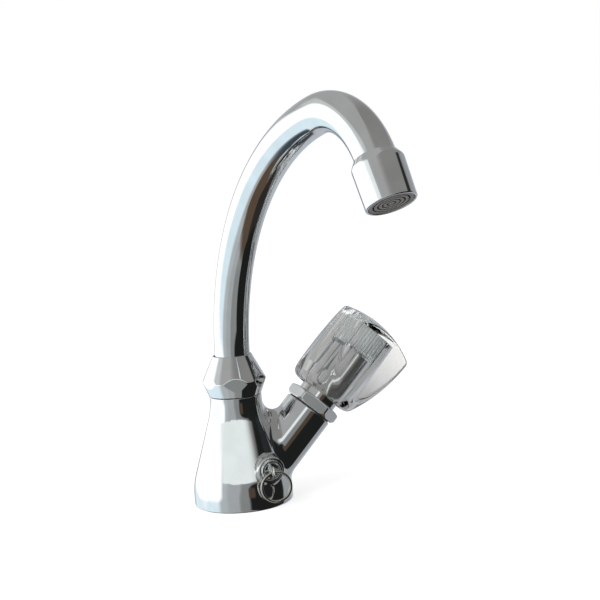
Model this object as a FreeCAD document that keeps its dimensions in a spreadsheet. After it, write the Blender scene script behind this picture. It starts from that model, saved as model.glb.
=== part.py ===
import FreeCAD, Part
import math
import os

import Sketcher
from FreeCAD import Placement, Rotation, Vector

# Single-handle basin tap with a swivelling swan-neck spout and a clear knob.
# Lengths are in millimetres and angles in degrees.
# +Z is up, +X points to the knob, and z = 0 is the deck that the foot stands on.

SIZES = {
    # Foot of the cast body, with its hollow, gasket groove, stud hole and inlet
    "base_r": 28.2,
    "base_wall_z": 11.7,
    "base_blend_r": 38.0,
    "base_edge_r": 1.0,
    "gasket_inset": 2.0,
    "gasket_w": 3.0,
    "gasket_h": 2.0,
    "foot_rib": 1.2,
    "foot_depth": 9.0,
    "stud_inset": 6.0,
    "stud_r": 4.0,
    "stud_len": 14.0,
    "inlet_inset": 2.0,
    "inlet_r": 5.0,
    "inlet_len": 10.0,
    "inlet_way_r": 4.0,
    "inlet_way_len": 8.0,
    # Neck and spigot
    "neck_z": 54.2,
    "neck_blend_r": 40.0,
    "neck_len": 7.7,
    "spigot_wall": 2.05,
    "spigot_step": 0.8,
    "spigot_h": 10.1,
    # Slanted arm, measured along its axis from the point on the body's axis
    "arm_z": 3.2,
    "arm_tilt": 43.65,
    "arm_r": 14.5,
    "arm_start": 16.0,
    "arm_end": 61.6,
    "saddle_r": 7.5,
    "bonnet_thread_r": 10.48,
    "thread_len": 12.1,
    "chamber_r": 10.0,
    "chamber_len": 24.6,
    "seat_r": 8.0,
    "seat_h": 3.0,
    "seat_hole_r": 5.5,
    "seat_lip_r": 6.5,
    "seat_lip_h": 0.8,
    "seat_way_len": 9.0,
    # Way from the valve chamber to the spout
    "spout_bore_depth": 23.5,
    "duct_drop": 2.5,
    "duct_r": 4.2,
    "duct_turn": 110.5,
    "duct_len": 26.0,
    "riser_r": 6.0,
    "riser_depth": 7.5,
    # Boss, stay and ring
    "stay_x": 10.8,
    "stay_z": 21.7,
    "stay_inset": 1.9,
    "boss_r": 7.6,
    "boss_len": 14.0,
    "boss_blend_r": 2.0,
    "boss_edge_r": 1.0,
    "stay_disc_r": 5.9,
    "stay_edge": 0.5,
    "stay_rim_h": 1.6,
    "stay_lip": 1.2,
    "stay_cup_h": 0.6,
    "stay_cup_slope": 0.6,
    "stay_screw_r": 2.0,
    "stay_screw_len": 6.0,
    "stay_pin_r": 1.5,
    "eye_out": 3.9,
    "eye_r": 2.3,
    "eye_wire_r": 0.7,
    "ring_drop": 0.6,
    "ring_lean": 7.0,
    "ring_r": 8.3,
    "ring_wire_r": 0.8,
    # Retaining nut at the neck
    "nut_gap": 0.3,
    "nut_low_h": 8.2,
    "nut_high_h": 14.5,
    "nut_foot_over": 0.14,
    "nut_flare": 3.22,
    "nut_play": 0.35,
    "nut_rim": 0.65,
    "nut_flat_cut": 1.41,
    "nut_turn": 18.3,
    "flange_play": 0.1,
    "flange_h": 1.9,
    "flange_inset": 0.7,
    "slip_gap": 0.1,
    "slip_play": 0.1,
    "slip_h": 2.2,
    # Spout tube and its ferrule
    "spout_swing": 75.4,
    "tube_r": 10.0,
    "tube_wall": 1.0,
    "tube_inset": 1.0,
    "bend_sink": 7.7,
    "long_bend_r": 140.2,
    "long_bend_end": 77.2,
    "short_bend_r": 43.3,
    "short_bend_end": 154.3,
    "tube_tail": 6.0,
    "ferrule_lift": 1.0,
    "ferrule_wall": 1.9,
    "slide_play": 0.05,
    "groove_d": 1.5,
    "groove_start": 3.5,
    "groove_pitch": 5.0,
    "groove_w": 1.9,
    # Outlet housing and aerator, measured along the outlet from the end of the bend
    "house_start": -2.2,
    "house_neck_over": 0.4,
    "braze_gap": 0.1,
    "house_cone_end": 1.5,
    "house_shoulder_r": 3.0,
    "house_over": 2.8,
    "house_taper": 0.4,
    "house_rim_w": 1.1,
    "house_rim_edge": 0.4,
    "house_rim_h": 0.8,
    "tail_gap": 0.3,
    "stop_h": 1.2,
    "house_depth": 14.5,
    "mouth_washer_h": 1.5,
    "mouth_washer_lip": 0.6,
    "mouth_recess": 0.3,
    "shell_wall": 0.8,
    "shell_edge": 0.3,
    "screen_drop": 0.6,
    "screen_h": 0.4,
    "screen_rim": 0.9,
    "screen_slot_w": 1.0,
    "diffuser_drop": 1.5,
    "diffuser_h": 1.4,
    "diffuser_hole_r": 0.8,
    "diffuser_inner_r": 3.4,
    "diffuser_outer_r": 7.2,
    "low_screen_drop": 4.4,
    "grid_h": 3.4,
    "grid_recess": 0.1,
    "grid_rim": 1.35,
    "grid_pitch": 2.25,
    "grid_gap": 0.9,
    "spoke_h": 1.6,
    "spoke_w": 0.7,
    # Headwork, along the arm's axis
    "seal_h": 0.8,
    "seal_inset": 1.1,
    "hex_h": 6.5,
    "hex_flats": 28.6,
    "hex_turn": 13.4,
    "hex_corner_out": 2.1,
    "hex_foot_out": 0.6,
    "hex_crown_in": 0.3,
    "hex_foot_bevel": 1.6,
    "hex_crown_bevel": 1.0,
    "nose_play": 0.4,
    "nose_len": 5.0,
    "end_gap": 0.3,
    "barrel_roof": 3.4,
    "barrel_play": 0.05,
    "collar_bore_h": 3.5,
    "collar_play": 0.3,
    "gland_play": 0.05,
    "gland_wall": 3.45,
    "bonnet_neck_h": 13.1,
    "key_w": 3.0,
    "key_play": 0.1,
    "key_out": 0.95,
    "key_root": 0.6,
    "sleeve_r": 11.8,
    "sleeve_wall": 0.9,
    "sleeve_lip": 1.5,
    "sleeve_h": 34.1,
    # Spindle
    "spindle_thread_r": 4.0,
    "spindle_thread_len": 11.1,
    "thread_play": 0.05,
    "collar_r": 6.5,
    "thrust_h": 0.8,
    "thrust_play": 0.1,
    "spindle_r": 5.0,
    "seal_groove_d": 1.3,
    "seal_start": 3.5,
    "seal_pitch": 6.0,
    "seal_groove_w": 1.6,
    "clip_lift": 0.3,
    "clip_h": 1.0,
    "clip_groove_d": 0.8,
    "clip_out": 1.6,
    "clip_gap_w": 2.8,
    "spline_gap": 1.2,
    "spline_step": 1.0,
    "spline_len": 19.0,
    "spline_d": 0.5,
    "spline_w": 1.0,
    "tap_hole_r": 2.0,
    "tap_hole_len": 13.0,
    # Piston and washer
    "washer_gap": 0.05,
    "washer_r": 7.2,
    "washer_h": 3.45,
    "plate_r": 7.6,
    "plate_h": 1.9,
    "piston_floor": 2.5,
    "piston_waist_r": 6.2,
    "piston_r": 8.0,
    "guide_len": 9.0,
    "screw_head_r": 3.5,
    "screw_head_h": 1.85,
    "screw_slot_w": 1.0,
    "screw_slot_d": 0.9,
    # Insert of the knob and its screw
    "insert_foot_gap": 1.5,
    "insert_hub_r": 6.6,
    "insert_gap": 1.0,
    "insert_disc_h": 2.5,
    "insert_h": 14.5,
    "insert_wall": 2.2,
    "insert_hub_h": 5.5,
    "tooth_d": 0.7,
    "tooth_w": 1.7,
    "web_play": 0.1,
    "web_h": 2.4,
    "screw_play": 0.2,
    "knob_screw_lift": 1.5,
    "knob_screw_head_r": 3.8,
    "knob_screw_head_h": 3.0,
    "cross_len": 4.8,
    "cross_w": 0.8,
    "cross_d": 1.4,
    # Knob
    "knob_lift": 3.9,
    "knob_out": 30.4,
    "knob_side_r": 95.0,
    "knob_belly": 1.2,
    "knob_rim_drop": 1.7,
    "knob_crown_h": 8.8,
    "knob_crown_edge_r": 1.5,
    "knob_foot_edge_r": 2.5,
    "knob_bore_play": 2.3,
    "knob_cavity_r": 15.0,
    "funnel_start": 6.2,
    "funnel_h": 7.0,
    "lobe_turn": 16.6,
    "face_out": 21.0,
    "face_level": 14.2,
    "face_side_r": 363.0,
    "cap_r": 12.0,
    "cap_h": 4.6,
    "cap_plug_r": 4.4,
    "cap_plug_len": 6.0,
}

# How far a cut reaches past what it cuts
CUT_OVER = 3.0
# How far apart two edges lie that must not be taken for each other
EDGE_SLACK = 0.05
# Where the middle corner of a two-step bevel lies, as a share of the bevel
BEVEL_SHARE = 0.3
# Depth of the groove between the split ring's two turns, as a share of the wire
SPLIT_SHARE = 0.3
SCREEN_SLOTS = 5
INNER_HOLES = 6
OUTER_HOLES = 14
GRID_GAPS = 4
GRID_SPOKES = 6
SPLINES = 12
TEETH = 44
KNOB_FACES = 3


class Size:
    """A number together with the sheet expression that gives it."""

    def __init__(self, number, text):
        self.number = float(number)
        self.text = text

    def __add__(self, other):
        return Size(self.number + num(other), "(%s + %s)" % (self.text, txt(other)))

    def __sub__(self, other):
        return Size(self.number - num(other), "(%s - %s)" % (self.text, txt(other)))

    def __mul__(self, other):
        return Size(self.number * num(other), "(%s * %s)" % (self.text, txt(other)))

    def __truediv__(self, other):
        return Size(self.number / num(other), "(%s / %s)" % (self.text, txt(other)))

    def __neg__(self):
        return Size(-self.number, "(0 - %s)" % self.text)


def num(value):
    """The plain number of a size or of a number."""
    return value.number if isinstance(value, Size) else float(value)


def txt(value):
    """The expression text of a size or of a number."""
    return value.text if isinstance(value, Size) else "%.6f" % value


def sin_of(angle):
    return Size(math.sin(math.radians(num(angle))), "sin(%s * 1 deg)" % txt(angle))


def cos_of(angle):
    return Size(math.cos(math.radians(num(angle))), "cos(%s * 1 deg)" % txt(angle))


def root_of(value):
    return Size(math.sqrt(num(value)), "sqrt(%s)" % txt(value))


class Sizes:
    """Reads a named size as a Size that points at its cell."""

    def __getattr__(self, name):
        return Size(SIZES[name], "dims." + name)


S = Sizes()

# Sizes that follow from others: foot and neck
S.gasket_out_r = S.base_r - S.gasket_inset
S.gasket_in_r = S.gasket_out_r - S.gasket_w
S.foot_r = S.gasket_in_r - S.foot_rib
S.stud_x = S.foot_r - S.stud_inset - S.stud_r
S.inlet_x = S.foot_r - S.inlet_inset - S.inlet_r
S.ferrule_r = S.tube_r + S.ferrule_wall
S.spout_bore_r = S.ferrule_r + S.slide_play
S.spigot_r = S.spout_bore_r + S.spigot_wall
S.neck_r = S.spigot_r + S.spigot_step
S.shoulder_z = S.neck_z + S.neck_len
S.spigot_top = S.shoulder_z + S.spigot_h
S.spout_bore_foot = S.spigot_top - S.spout_bore_depth
S.duct_z = S.spout_bore_foot - S.duct_drop
S.riser_foot = S.spout_bore_foot - S.riser_depth
S.stay_face_y = S.base_r - S.stay_inset
S.stay_cup_r = S.stay_disc_r - S.stay_lip
# Nut, ferrule and tube
S.nut_foot_z = S.shoulder_z + S.nut_gap
S.nut_wide_z = S.nut_foot_z + S.nut_low_h
S.nut_top_z = S.nut_wide_z + S.nut_high_h
S.nut_foot_r = S.neck_r + S.nut_foot_over
S.nut_wide_r = S.nut_foot_r + S.nut_flare
S.nut_hole_r = S.tube_r + S.nut_play
S.nut_top_r = S.nut_hole_r + S.nut_rim
S.nut_flats = (S.nut_wide_r - S.nut_flat_cut) * 2
S.flange_foot_z = S.spigot_top + S.flange_play
S.flange_r = S.spigot_r - S.flange_inset
S.ferrule_top_z = S.flange_foot_z + S.flange_h
S.slip_foot_z = S.ferrule_top_z + S.slip_gap
S.slip_r = S.spigot_r - S.slip_play
S.nut_seat_z = S.slip_foot_z + S.slip_h
S.ferrule_foot_z = S.spout_bore_foot + S.ferrule_lift
S.groove_r = S.ferrule_r - S.groove_d
S.groove_low_z = S.ferrule_foot_z + S.groove_start
S.groove_high_z = S.groove_low_z + S.groove_pitch
S.tube_foot_z = S.ferrule_foot_z + S.tube_inset
S.bend_start_z = S.nut_top_z - S.bend_sink
# Outlet housing and aerator
S.house_neck_r = S.tube_r + S.house_neck_over
S.house_r = S.tube_r + S.house_over
S.house_rim_r = S.house_r - S.house_taper
S.house_bore_r = S.house_rim_r - S.house_rim_w
S.house_way_r = S.tube_r - S.tube_wall
S.house_stop = S.tube_tail + S.tail_gap
S.house_step = S.house_stop + S.stop_h
S.house_end = S.house_step + S.house_depth
S.shell_start = S.house_step + S.mouth_washer_h
S.shell_end = S.house_end - S.mouth_recess
S.shell_in_r = S.house_bore_r - S.shell_wall
# Headwork
S.thread_end = S.arm_end - S.thread_len
S.seat_top = S.arm_end - S.chamber_len
S.seat_foot = S.seat_top - S.seat_h
S.seal_r = S.arm_r - S.seal_inset
S.hex_foot = S.arm_end + S.seal_h
S.hex_top = S.hex_foot + S.hex_h
S.hex_edge_r = S.hex_flats / 2 + S.hex_corner_out
S.hex_foot_r = S.hex_flats / 2 + S.hex_foot_out
S.hex_crown_r = S.hex_flats / 2 - S.hex_crown_in
S.bonnet_nose_r = S.chamber_r - S.nose_play
S.bonnet_foot = S.thread_end - S.nose_len
S.bonnet_shoulder = S.thread_end + S.end_gap
S.barrel_r = S.piston_r + S.barrel_play
S.barrel_end = S.hex_foot - S.barrel_roof
S.collar_bore_r = S.collar_r + S.collar_play
S.collar_bore_end = S.barrel_end + S.collar_bore_h
S.gland_r = S.spindle_r + S.gland_play
S.bonnet_neck_r = S.gland_r + S.gland_wall
S.bonnet_top = S.hex_top + S.bonnet_neck_h
S.key_r = S.piston_r + S.key_out
S.key_slot_r = S.key_r + S.barrel_play
S.key_slot_w = S.key_w + S.key_play
S.sleeve_in_r = S.sleeve_r - S.sleeve_wall
S.sleeve_top = S.hex_top + S.sleeve_h
# Spindle
S.collar_foot = S.barrel_end + S.collar_play
S.thrust_top = S.collar_bore_end - S.thrust_play
S.collar_top = S.thrust_top - S.thrust_h
S.spindle_foot = S.collar_foot - S.spindle_thread_len
S.seal_groove_r = S.spindle_r - S.seal_groove_d
S.seal_low = S.collar_bore_end + S.seal_start
S.seal_high = S.seal_low + S.seal_pitch
S.clip_foot = S.bonnet_top + S.clip_lift
S.clip_top = S.clip_foot + S.clip_h
S.clip_in_r = S.spindle_r - S.clip_groove_d
S.clip_r = S.spindle_r + S.clip_out
S.spline_foot = S.clip_top + S.spline_gap
S.spline_r = S.spindle_r - S.spline_step
S.spindle_top = S.spline_foot + S.spline_len
S.tap_hole_foot = S.spindle_top - S.tap_hole_len
# Piston and washer
S.washer_foot = S.seat_top + S.washer_gap
S.piston_foot = S.washer_foot + S.washer_h
S.plate_top = S.piston_foot + S.plate_h
S.piston_bore_foot = S.piston_foot + S.piston_floor
S.piston_bore_r = S.spindle_thread_r + S.thread_play
S.piston_top = S.bonnet_foot + S.guide_len
S.screw_head_foot = S.washer_foot - S.screw_head_h
# Insert, knob and cap
S.insert_foot = S.spline_foot + S.insert_foot_gap
S.insert_disc = S.sleeve_top + S.insert_gap
S.insert_disc_top = S.insert_disc + S.insert_disc_h
S.insert_wall_r = S.knob_cavity_r - S.insert_wall
S.insert_hub_top = S.insert_disc_top + S.insert_hub_h
S.web_foot = S.spindle_top + S.web_play
S.knob_screw_seat = S.web_foot + S.web_h
S.knob_screw_top = S.knob_screw_seat + S.knob_screw_head_h
S.knob_screw_foot = S.tap_hole_foot + S.knob_screw_lift
S.knob_foot = S.hex_top + S.knob_lift
S.knob_bore_r = S.sleeve_r + S.knob_bore_play
S.funnel_foot = S.knob_foot + S.funnel_start
S.funnel_top = S.funnel_foot + S.funnel_h
S.knob_cavity_top = S.insert_disc + S.insert_h
S.knob_rim = S.knob_cavity_top - S.knob_rim_drop
S.knob_crown = S.knob_rim + S.knob_crown_h
S.cap_foot = S.knob_crown - S.cap_h
S.cap_plug_foot = S.cap_foot - S.cap_plug_len


class Frame:
    """A placement together with the expression that gives it."""

    def __init__(self, place, text):
        self.place = place
        self.text = text

    def __mul__(self, other):
        return Frame(self.place * other.place, "(%s * %s)" % (self.text, other.text))


def frame(x=0, y=0, z=0, axis=(0, 0, 1), angle=0):
    """A frame at a point, turned about an axis."""
    place = Placement(Vector(num(x), num(y), num(z)), Rotation(Vector(*axis), num(angle)))
    spot = "vector(%s; %s; %s)" % (txt(x), txt(y), txt(z))
    turn = "rotation(vector(%d; %d; %d); %s)" % (axis[0], axis[1], axis[2], txt(angle))
    return Frame(place, "placement(%s; %s)" % (spot, turn))


WORLD = frame()
UPRIGHT = frame(axis=(1, 0, 0), angle=90)
ARM = frame(z=S.arm_z, axis=(0, 1, 0), angle=S.arm_tilt)
SPOUT = frame(axis=(0, 0, -1), angle=S.spout_swing)

doc = FreeCAD.newDocument("basin_tap")
sheet = doc.addObject("Spreadsheet::Sheet", "dims")
for row, (size_name, size_value) in enumerate(SIZES.items(), start=1):
    sheet.set("A%d" % row, size_name)
    sheet.set("B%d" % row, str(size_value))
    sheet.setAlias("B%d" % row, size_name)
doc.recompute()

SUBPARTS = []


def bind(item, name, value):
    """Set a property to a size, and tie it to the sheet."""
    setattr(item, name, num(value))
    if isinstance(value, Size):
        item.setExpression(name, value.text)


def put(item, where):
    """Place an object on a frame, and tie it to the sheet."""
    item.Placement = where.place
    item.setExpression("Placement", where.text)


def new_body(label, where=WORLD):
    body = doc.addObject("PartDesign::Body", label)
    body.Label = label
    if where is not WORLD:
        put(body, where)
    SUBPARTS.append(body)
    return body


def new_sketch(body, name, where):
    sketch = body.newObject("Sketcher::SketchObject", name)
    put(sketch, where)
    return sketch


def hold(sketch, kind, value, *refs):
    """Add a driving dimension, and tie it to the sheet."""
    index = sketch.addConstraint(Sketcher.Constraint(kind, *refs, num(value)))
    if isinstance(value, Size):
        sketch.setExpression("Constraints[%d]" % index, value.text)


def pin(sketch, geo, point, x=None, y=None):
    """Fix a sketch point's distance from the two axes."""
    if x is not None:
        if num(x) == 0:
            sketch.addConstraint(Sketcher.Constraint("PointOnObject", geo, point, -2))
        else:
            hold(sketch, "DistanceX", x, -1, 1, geo, point)
    if y is not None:
        if num(y) == 0:
            sketch.addConstraint(Sketcher.Constraint("PointOnObject", geo, point, -1))
        else:
            hold(sketch, "DistanceY", y, -1, 1, geo, point)


def polygon(body, name, where, corners, arcs=None):
    """A closed outline. Sides listed in arcs are arcs with one coordinate of the centre given."""
    sketch = new_sketch(body, name, where)
    add_polygon(sketch, corners, arcs or {})
    return sketch


def add_polygon(sketch, corners, arcs=None):
    first = sketch.GeometryCount
    count = len(corners)
    arcs = arcs or {}
    spots = [Vector(num(x), num(y), 0) for x, y in corners]
    for i in range(count):
        a = spots[i]
        b = spots[(i + 1) % count]
        if i in arcs:
            sketch.addGeometry(arc_between(a, b, *arcs[i]), False)
        else:
            sketch.addGeometry(Part.LineSegment(a, b), False)
    for i in range(count):
        sketch.addConstraint(Sketcher.Constraint("Coincident", first + i, 2, first + (i + 1) % count, 1))
    for i, (x, y) in enumerate(corners):
        pin(sketch, first + i, 1, x, y)
    for i, (x, y) in arcs.items():
        pin(sketch, first + i, 3, x, y)


def arc_between(a, b, x, y):
    """The arc that bulges to the right from a up to b. One of x and y gives its centre's place."""
    reach = (b.x ** 2 + b.y ** 2 - a.x ** 2 - a.y ** 2) / 2
    if y is None:
        centre_x = num(x)
        centre_y = (reach - centre_x * (b.x - a.x)) / (b.y - a.y)
    else:
        centre_y = num(y)
        centre_x = (reach - centre_y * (b.y - a.y)) / (b.x - a.x)
    radius = math.hypot(a.x - centre_x, a.y - centre_y)
    start = math.atan2(a.y - centre_y, a.x - centre_x)
    end = math.atan2(b.y - centre_y, b.x - centre_x)
    circle = Part.Circle(Vector(centre_x, centre_y, 0), Vector(0, 0, 1), radius)
    return Part.ArcOfCircle(circle, min(start, end), max(start, end))


def circles(body, name, where, rounds):
    """Circles given as centre x, centre y and radius."""
    sketch = new_sketch(body, name, where)
    for x, y, r in rounds:
        spot = Vector(num(x), num(y), 0)
        geo = sketch.addGeometry(Part.Circle(spot, Vector(0, 0, 1), num(r)), False)
        pin(sketch, geo, 3, x, y)
        hold(sketch, "Radius", r, geo)
    return sketch


def turn(body, name, corners, where=WORLD, cut=False, arcs=None):
    """Turn an outline of radius and height pairs once about the frame's Z axis."""
    sketch = polygon(body, name + "_outline", where * UPRIGHT, corners, arcs)
    kind = "PartDesign::Groove" if cut else "PartDesign::Revolution"
    feature = body.newObject(kind, name)
    feature.Profile = sketch
    feature.ReferenceAxis = (sketch, ["V_Axis"])
    feature.Angle = 360
    sketch.Visibility = False
    return feature


def extrude(body, name, sketch, length, cut=False):
    """Add or cut material along the sketch's normal."""
    kind = "PartDesign::Pocket" if cut else "PartDesign::Pad"
    feature = body.newObject(kind, name)
    feature.Profile = sketch
    bind(feature, "Length", length)
    feature.Reversed = cut
    sketch.Visibility = False
    return feature


def drill(body, name, where, radius, length):
    """A round hole that starts at the frame and runs along its Z axis."""
    sketch = circles(body, name + "_round", where, [(0, 0, radius)])
    return extrude(body, name, sketch, length, cut=True)


def up(height, base=WORLD):
    """The frame moved along its own Z axis."""
    return base * frame(z=height)


def edges_where(feature, test):
    """Names of the feature's curved edges whose three sample points all pass the test."""
    names = []
    for index, edge in enumerate(feature.Shape.Edges, start=1):
        if isinstance(edge.Curve, Part.Line):
            continue
        first, last = edge.ParameterRange
        marks = [first + (last - first) * part for part in (0.1, 0.5, 0.9)]
        if all(test(edge.valueAt(mark)) for mark in marks):
            names.append("Edge%d" % index)
    return names


def soften(body, name, feature, test, radius):
    """Round the edges that pass the test."""
    doc.recompute()
    names = edges_where(feature, test)
    if not names:
        raise RuntimeError("no edges for " + name)
    fillet = body.newObject("PartDesign::Fillet", name)
    fillet.Base = (feature, names)
    bind(fillet, "Radius", radius)
    return fillet


def pattern(body, name, feature, sketch, count):
    """Repeat a feature round the sketch's upright axis."""
    copies = body.newObject("PartDesign::PolarPattern", name)
    copies.Originals = [feature]
    copies.Axis = (sketch, ["N_Axis"])
    copies.Angle = 360
    copies.Occurrences = count
    body.Tip = copies
    return copies


def near(value, target, slack=0.02):
    return abs(value - num(target)) < slack


def radius_at(point):
    return math.hypot(point.x, point.y)


def arm_point(point):
    """A point in the arm's own frame."""
    return ARM.place.inverse().multVec(point)


def hex_corners(flats, turned):
    """Corners of a hexagon whose first flat faces the angle turned."""
    reach = flats / (2 * math.cos(math.radians(30)))
    corners = []
    for step in range(6):
        angle = turned + 30 + 60 * step
        corners.append((reach * cos_of(angle), reach * sin_of(angle)))
    return corners


def trim_to_hexagon(body, name, where, flats, turned, outer_r, height):
    """Cut away all that lies outside a hexagon."""
    sketch = new_sketch(body, name + "_outline", where)
    add_polygon(sketch, hex_corners(flats, turned))
    geo = sketch.addGeometry(Part.Circle(Vector(0, 0, 0), Vector(0, 0, 1), num(outer_r)), False)
    pin(sketch, geo, 3, 0, 0)
    hold(sketch, "Radius", outer_r, geo)
    return extrude(body, name, sketch, height, cut=True)


def torus(label, where, ring_r, wire_r):
    body = new_body(label)
    ring = body.newObject("PartDesign::AdditiveTorus", label + "_torus")
    bind(ring, "Radius1", ring_r)
    bind(ring, "Radius2", wire_r)
    put(ring, where)
    return body


def make_body():
    body = new_body("body")
    foot = turn(body, "foot_and_neck", [
        (0, 0),
        (S.base_r, 0),
        (S.base_r, S.base_wall_z),
        (S.neck_r, S.neck_z),
        (S.neck_r, S.shoulder_z),
        (S.spigot_r, S.shoulder_z),
        (S.spigot_r, S.spigot_top),
        (0, S.spigot_top),
    ])
    rim = soften(body, "base_edge", foot,
                 lambda p: near(p.z, 0) and near(radius_at(p), S.base_r), S.base_edge_r)
    low = soften(body, "base_blend", rim,
                 lambda p: near(p.z, S.base_wall_z) and near(radius_at(p), S.base_r), S.base_blend_r)
    high = soften(body, "neck_blend", low,
                  lambda p: near(p.z, S.neck_z) and near(radius_at(p), S.neck_r), S.neck_blend_r)
    arm_round = circles(body, "arm_round", up(S.arm_start, ARM), [(0, 0, S.arm_r)])
    arm = extrude(body, "arm", arm_round, S.arm_end - S.arm_start)
    soften(body, "saddle", arm, on_saddle, S.saddle_r)
    add_boss(body)
    hollow_body(body)


def on_saddle(point):
    """True on the line where the arm meets the foot and neck."""
    spot = arm_point(point)
    return near(radius_at(spot), S.arm_r) and spot.z < num(S.arm_end) - EDGE_SLACK


def add_boss(body):
    """The raised boss on the side of the foot that carries the stay."""
    face = frame(x=S.stay_x, y=-S.stay_face_y, z=S.stay_z, axis=(1, 0, 0), angle=90)
    edge = S.boss_edge_r
    boss = turn(body, "boss", [
        (0, -S.boss_len),
        (S.boss_r, -S.boss_len),
        (S.boss_r, -edge),
        (S.boss_r - edge * BEVEL_SHARE, -edge * BEVEL_SHARE),
        (S.boss_r - edge, 0),
        (0, 0),
    ], face)
    edge_y = num(S.boss_edge_r - S.stay_face_y) + EDGE_SLACK

    def on_root(point):
        away = math.hypot(point.x - num(S.stay_x), point.z - num(S.stay_z))
        return near(away, S.boss_r) and point.y > edge_y

    return soften(body, "boss_blend", boss, on_root, S.boss_blend_r)


def hollow_body(body):
    drill(body, "foot_hollow", WORLD, S.foot_r, S.foot_depth)
    turn(body, "gasket_groove", [
        (S.gasket_in_r, 0),
        (S.gasket_out_r, 0),
        (S.gasket_out_r, S.gasket_h),
        (S.gasket_in_r, S.gasket_h),
    ], cut=True)
    inlet_way = frame(x=S.inlet_x, z=S.foot_depth + S.inlet_len)
    drill(body, "stud_hole", frame(x=-S.stud_x, z=S.foot_depth), S.stud_r, S.stud_len)
    drill(body, "inlet_hole", frame(x=S.inlet_x, z=S.foot_depth), S.inlet_r, S.inlet_len)
    drill(body, "inlet_way", inlet_way, S.inlet_way_r, S.inlet_way_len)
    drill(body, "seat_way", up(S.seat_foot - S.seat_way_len, ARM), S.seat_hole_r, S.seat_way_len + S.seat_h)
    drill(body, "seat_bore", up(S.seat_foot, ARM), S.seat_r, S.seat_h)
    drill(body, "chamber", up(S.seat_top, ARM), S.chamber_r, S.chamber_len)
    drill(body, "thread_bore", up(S.thread_end, ARM), S.bonnet_thread_r, S.thread_len)
    drill(body, "duct", frame(z=S.duct_z, axis=(0, 1, 0), angle=S.duct_turn), S.duct_r, S.duct_len)
    drill(body, "riser", up(S.riser_foot), S.riser_r, S.riser_depth + S.spout_bore_depth)
    drill(body, "spout_bore", up(S.spout_bore_foot), S.spout_bore_r, S.spout_bore_depth)
    tap = frame(x=S.stay_x, y=-S.stay_face_y, z=S.stay_z, axis=(1, 0, 0), angle=-90)
    drill(body, "stay_hole", tap, S.stay_screw_r, S.stay_screw_len)


def make_base_gasket():
    turn(new_body("base_gasket"), "gasket", [
        (S.gasket_in_r, 0),
        (S.gasket_out_r, 0),
        (S.gasket_out_r, S.gasket_h),
        (S.gasket_in_r, S.gasket_h),
    ])


def make_spout_nut():
    body = new_body("spout_nut")
    turn(body, "double_cone", [
        (S.spigot_r, S.nut_foot_z),
        (S.nut_foot_r, S.nut_foot_z),
        (S.nut_wide_r, S.nut_wide_z),
        (S.nut_top_r, S.nut_top_z),
        (S.nut_hole_r, S.nut_top_z),
        (S.nut_hole_r, S.nut_seat_z),
        (S.spigot_r, S.nut_seat_z),
    ])
    trim_to_hexagon(body, "flats", up(S.nut_foot_z), S.nut_flats, S.nut_turn, S.nut_wide_r + CUT_OVER,
                    S.nut_top_z - S.nut_foot_z)


def make_spout_slip_ring():
    turn(new_body("spout_slip_ring"), "ring", [
        (S.nut_hole_r, S.slip_foot_z),
        (S.slip_r, S.slip_foot_z),
        (S.slip_r, S.nut_seat_z),
        (S.nut_hole_r, S.nut_seat_z),
    ])


def make_valve_seat():
    turn(new_body("valve_seat", ARM), "seat", [
        (S.seat_hole_r, S.seat_foot),
        (S.seat_r, S.seat_foot),
        (S.seat_r, S.seat_top - S.seat_lip_h),
        (S.seat_lip_r, S.seat_top - S.seat_lip_h),
        (S.seat_lip_r, S.seat_top),
        (S.seat_hole_r, S.seat_top),
    ])


def make_bonnet():
    body = new_body("bonnet", ARM)
    turn(body, "barrel", [
        (S.barrel_r, S.bonnet_foot),
        (S.bonnet_nose_r, S.bonnet_foot),
        (S.bonnet_nose_r, S.bonnet_shoulder),
        (S.bonnet_thread_r, S.bonnet_shoulder),
        (S.bonnet_thread_r, S.hex_foot),
        (S.hex_foot_r, S.hex_foot),
        (S.hex_edge_r, S.hex_foot + S.hex_foot_bevel),
        (S.hex_edge_r, S.hex_top - S.hex_crown_bevel),
        (S.hex_crown_r, S.hex_top),
        (S.bonnet_neck_r, S.hex_top),
        (S.bonnet_neck_r, S.bonnet_top),
        (S.gland_r, S.bonnet_top),
        (S.gland_r, S.collar_bore_end),
        (S.collar_bore_r, S.collar_bore_end),
        (S.collar_bore_r, S.barrel_end),
        (S.barrel_r, S.barrel_end),
    ])
    trim_to_hexagon(body, "flats", up(S.hex_foot), S.hex_flats, S.hex_turn, S.hex_edge_r + CUT_OVER, S.hex_h)
    slot = polygon(body, "key_slot_outline", up(S.bonnet_foot), [
        (-S.key_slot_r, -S.key_slot_w / 2),
        (S.key_slot_r, -S.key_slot_w / 2),
        (S.key_slot_r, S.key_slot_w / 2),
        (-S.key_slot_r, S.key_slot_w / 2),
    ])
    extrude(body, "key_slots", slot, S.barrel_end - S.bonnet_foot, cut=True)


def make_bonnet_seal():
    turn(new_body("bonnet_seal", ARM), "ring", [
        (S.bonnet_thread_r, S.arm_end),
        (S.seal_r, S.arm_end),
        (S.seal_r, S.arm_end + S.seal_h),
        (S.bonnet_thread_r, S.arm_end + S.seal_h),
    ])


def make_headwork_sleeve():
    turn(new_body("headwork_sleeve", ARM), "tube", [
        (S.bonnet_neck_r, S.hex_top),
        (S.sleeve_r, S.hex_top),
        (S.sleeve_r, S.sleeve_top),
        (S.sleeve_in_r, S.sleeve_top),
        (S.sleeve_in_r, S.hex_top + S.sleeve_lip),
        (S.bonnet_neck_r, S.hex_top + S.sleeve_lip),
    ])


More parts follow.
